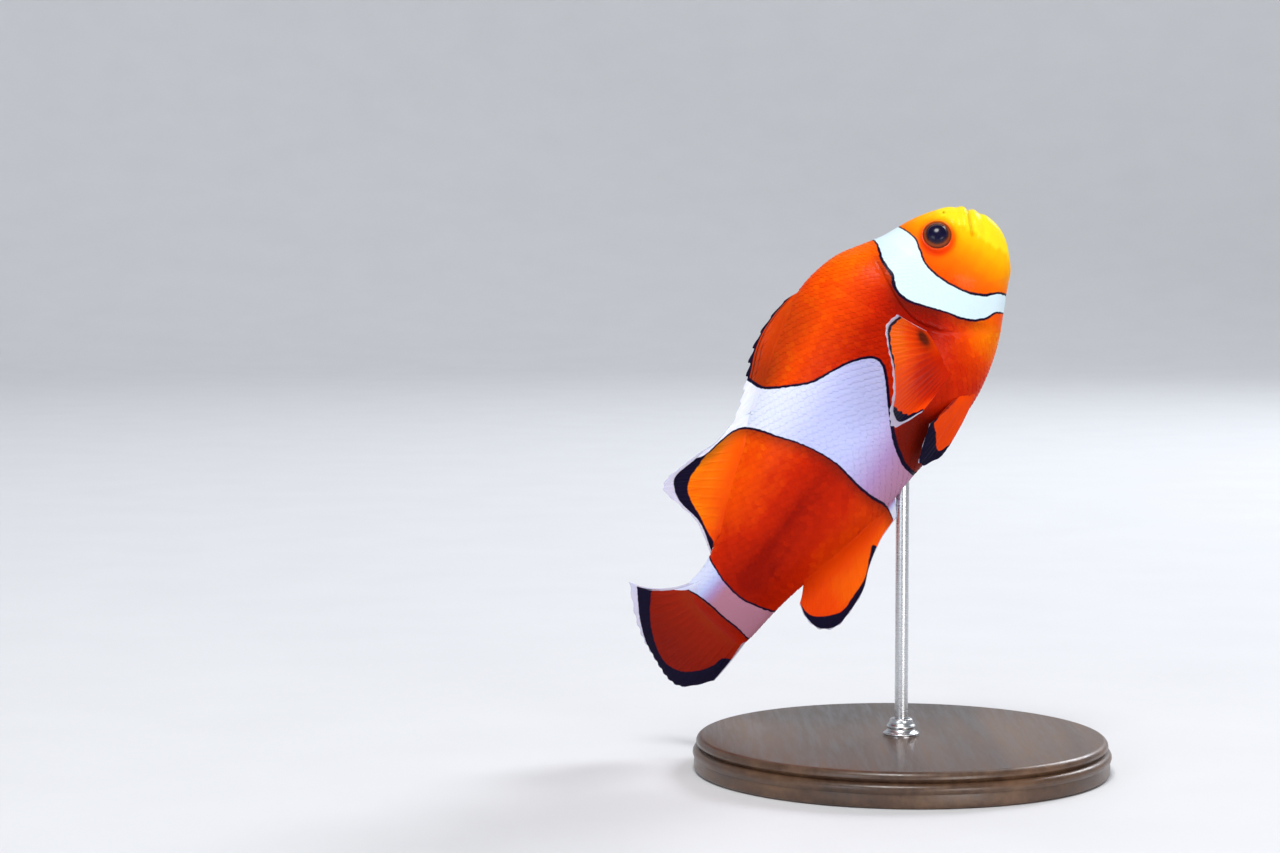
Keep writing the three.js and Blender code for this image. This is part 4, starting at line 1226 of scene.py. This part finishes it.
def eyeball(name, side):
    """A ball seated in the skin, with its pupil bulging out of a sunk ring of iris."""
    u, a = flank_at(EYE["s"], EYE["h"])
    seat = np.array([u]), np.array([a])
    foot = smooth_skin(*seat)
    normal = skin_normal(*seat)
    places = posed(np.vstack([foot, foot + normal * 0.01, foot + (0.01, 0, 0)]) * (1, 1, side))
    out = Vector(unit(places[1] - places[0]))
    tailward = Vector(unit(places[2] - places[0]))
    upward = out.cross(tailward).normalized()
    tailward = upward.cross(out)
    centre = Vector(places[0]) - out * EYE["sunk"]
    bm = bmesh.new()
    bmesh.ops.create_uvsphere(bm, u_segments=96, v_segments=72, radius=1)
    ball = np.array([vertex.co for vertex in bm.verts])
    front = ball[:, 2] > 0
    radial = np.hypot(ball[:, 0], ball[:, 1]) * EYE["radius"]
    bulge = PUPIL_BULGE["lift"] * (1 - smoothstep(radial, *PUPIL_BULGE["edge"]))
    groove = IRIS_GROOVE["depth"] * bell(radial - IRIS_GROOVE["radius"], IRIS_GROOVE["width"])
    local = ball * (EYE["radius"], EYE["radius"], EYE["depth"])
    local[:, 2] += np.where(front, bulge - groove, 0)
    turned = [centre + tailward * x + upward * y + out * z for x, y, z in local]
    shape_mesh(name, bm, np.array(turned), dict(radial=np.where(front, radial, EYE["radius"])))
    return finish_mesh(name, bm, merge=1e-8)


eye_look = eye_material()
for side_name, side in (("right", 1), ("left", -1)):
    fitted(eyeball(f"eyeball_{side_name}", side), eye_look, "eye", f"eye_{side_name}")


# ------------------------------------------------------------------ stand
def walnut_material():
    made, tree, shader = material("walnut")
    lengthwise = stretched(tree, (1, 0.08, 1), (0, 0, 0.12))
    grain = noise(tree, 900, 5, 0.6, lengthwise)
    rings = noise(tree, 120, 4, 0.5, lengthwise)
    figure = maths(
        tree, "ADD", maths(tree, "MULTIPLY", grain, 0.45), maths(tree, "MULTIPLY", rings, 0.6))
    color = ramp(tree, figure, [
        (0.3, (0.028, 0.014, 0.008)), (0.5, (0.07, 0.034, 0.018)), (0.72, (0.15, 0.078, 0.04)),
    ])
    tree.links.new(color, shader.inputs["Base Color"])
    tree.links.new(mapped(tree, grain, 0.3, 0.7, 0.32, 0.5), shader.inputs["Roughness"])
    shine(shader, {"Coat Weight": 0.25, "Coat Roughness": 0.2})
    bumped(tree, shader, grain, 0.00008, 0.35)
    return made


def steel_material():
    made, tree, shader = material("brushed_steel")
    brushing = noise(tree, 300, 4, 0.6, stretched(tree, (1, 1, 30)))
    color = ramp(tree, brushing, [(0.3, (0.54, 0.55, 0.57)), (0.7, (0.66, 0.67, 0.68))])
    tree.links.new(color, shader.inputs["Base Color"])
    tree.links.new(mapped(tree, brushing, 0.3, 0.7, 0.2, 0.36), shader.inputs["Roughness"])
    shine(shader, {"Metallic": 1})
    bumped(tree, shader, brushing, 0.00002, 0.4)
    return made


def arc(centre_r, centre_z, radius, start, end, steps=6):
    angles = np.radians(np.linspace(start, end, steps + 1))
    return [(centre_r + radius * math.cos(t), centre_z + radius * math.sin(t)) for t in angles]


BASE_PROFILE = [
    (0, 0), (29.2, 0), *arc(29.2, 0.6, 0.6, -90, 0), (29.8, 1.2), *arc(29.2, 2.6, 0.8, -50, 80),
    (29.0, 3.5), *arc(28.6, 4.1, 0.9, -5, 90), (0, 5.0),
]
COLLAR_PROFILE = [
    (0.97, 5.0), (2.5, 5.0), *arc(2.4, 5.3, 0.2, -60, 60), (2.3, 5.6), (2.1, 5.7),
    *arc(1.75, 6.3, 0.35, -60, 60), (1.7, 6.9), *arc(1.35, 7.2, 0.3, 0, 90), (0.97, 7.5),
    (0.97, 5.0),
]
# The rod starts inside the base and ends inside the fish
ROD_RADIUS = 0.95
ROD_FOOT = 4.0
ROD_INTO_FISH = 1.0
ROD_ROUNDING = 0.5
rod_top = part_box("stand_rod")[1].z / MM + ROD_INTO_FISH

base = spun("display_base", BASE_PROFILE, 192, sharp=35)
rod = spun("display_rod", [
    (0, ROD_FOOT), (ROD_RADIUS, ROD_FOOT), (ROD_RADIUS, rod_top - ROD_ROUNDING),
    *arc(ROD_RADIUS - ROD_ROUNDING, rod_top - ROD_ROUNDING, ROD_ROUNDING, 0, 90), (0, rod_top),
], 48)
collar = spun("display_collar", COLLAR_PROFILE, 64)
steel = steel_material()
fitted(base, walnut_material(), "stand_wood", "stand_base")
fitted(rod, steel, "stand_metal", "stand_rod")
fitted(collar, steel, "stand_metal", "stand_collar")


# ------------------------------------------------------------------ studio
FLOOR_RADIUS, SWEEP_RADIUS, SWEEP_START, WALL_TOP = 1100, 600, -84.27, 1600
# Place, aim, width, power and colour of each lamp, in metres and watts
LAMPS = {
    "key": ((-0.12, -0.46, 0.92), (-0.01, 0, 0.05), 0.36, 7.0, (1.0, 0.98, 0.96)),
    "fill": ((-0.6, -0.85, 0.3), (0, 0, 0.05), 0.5, 2.0, (0.86, 0.92, 1.0)),
    "low": ((0.4, -0.8, 0.12), (0, 0, 0.05), 0.4, 2.8, (1.0, 0.96, 0.92)),
    "edge": ((0.55, 0.6, 0.6), (0, 0, 0.06), 0.4, 5, (0.92, 0.95, 1.0)),
    "wall": ((0, 0.75, 1.2), (0, 1.5, 0.2), 0.9, 4.5, (0.97, 0.98, 1.0)),
}


def floor_material():
    made, tree, shader = material("pale_floor")
    color = ramp(tree, noise(tree, 40, 4), [(0.3, (0.71, 0.72, 0.74)), (0.7, (0.73, 0.74, 0.76))])
    tree.links.new(color, shader.inputs["Base Color"])
    shine(shader, {"Roughness": 0.75})
    return made


# A pale floor that sweeps up all round into a wall
floor = spun("studio_floor", [
    (0, 0), (FLOOR_RADIUS, 0),
    *arc(FLOOR_RADIUS, SWEEP_RADIUS, SWEEP_RADIUS, SWEEP_START, 0, steps=15),
    (FLOOR_RADIUS + SWEEP_RADIUS, WALL_TOP),
], 96, sharp=60)
floor.data.materials.append(floor_material())

for name, (place, aim, width, power, color) in LAMPS.items():
    data = bpy.data.lights.new(name, "AREA")
    data.shape = "DISK"
    data.size = width
    data.energy = power
    data.color = color
    light = bpy.data.objects.new(name, data)
    bpy.context.scene.collection.objects.link(light)
    light.location = place
    light.rotation_euler = (Vector(aim) - Vector(place)).to_track_quat("-Z", "Y").to_euler()

world = bpy.data.worlds.new("studio_air")
bpy.context.scene.world = world
world.use_nodes = True
air = world.node_tree.nodes["Background"]
air.inputs["Color"].default_value = (0.85, 0.91, 1.0, 1)
air.inputs["Strength"].default_value = 0.2
bpy.context.scene.view_settings.view_transform = "Standard"

# ------------------------------------------------------------------ camera
AIM = Vector((-37.57, 0, 49.5)) * MM
ELEVATION = math.radians(4)
DISTANCE = 430 * MM
# Distance to the picture plane in a picture 1280 wide
FOCAL_PIXELS, PICTURE_WIDTH = 3010, 1280
SENSOR = 36
camera_data = bpy.data.cameras.new("camera")
camera_data.sensor_width = SENSOR
camera_data.lens = FOCAL_PIXELS / PICTURE_WIDTH * SENSOR
camera_data.clip_start = 0.01
camera = bpy.data.objects.new("camera", camera_data)
bpy.context.scene.collection.objects.link(camera)
camera.location = AIM + Vector((0, -math.cos(ELEVATION), math.sin(ELEVATION))) * DISTANCE
camera.rotation_euler = (math.pi / 2 - ELEVATION, 0, 0)
bpy.context.scene.camera = camera
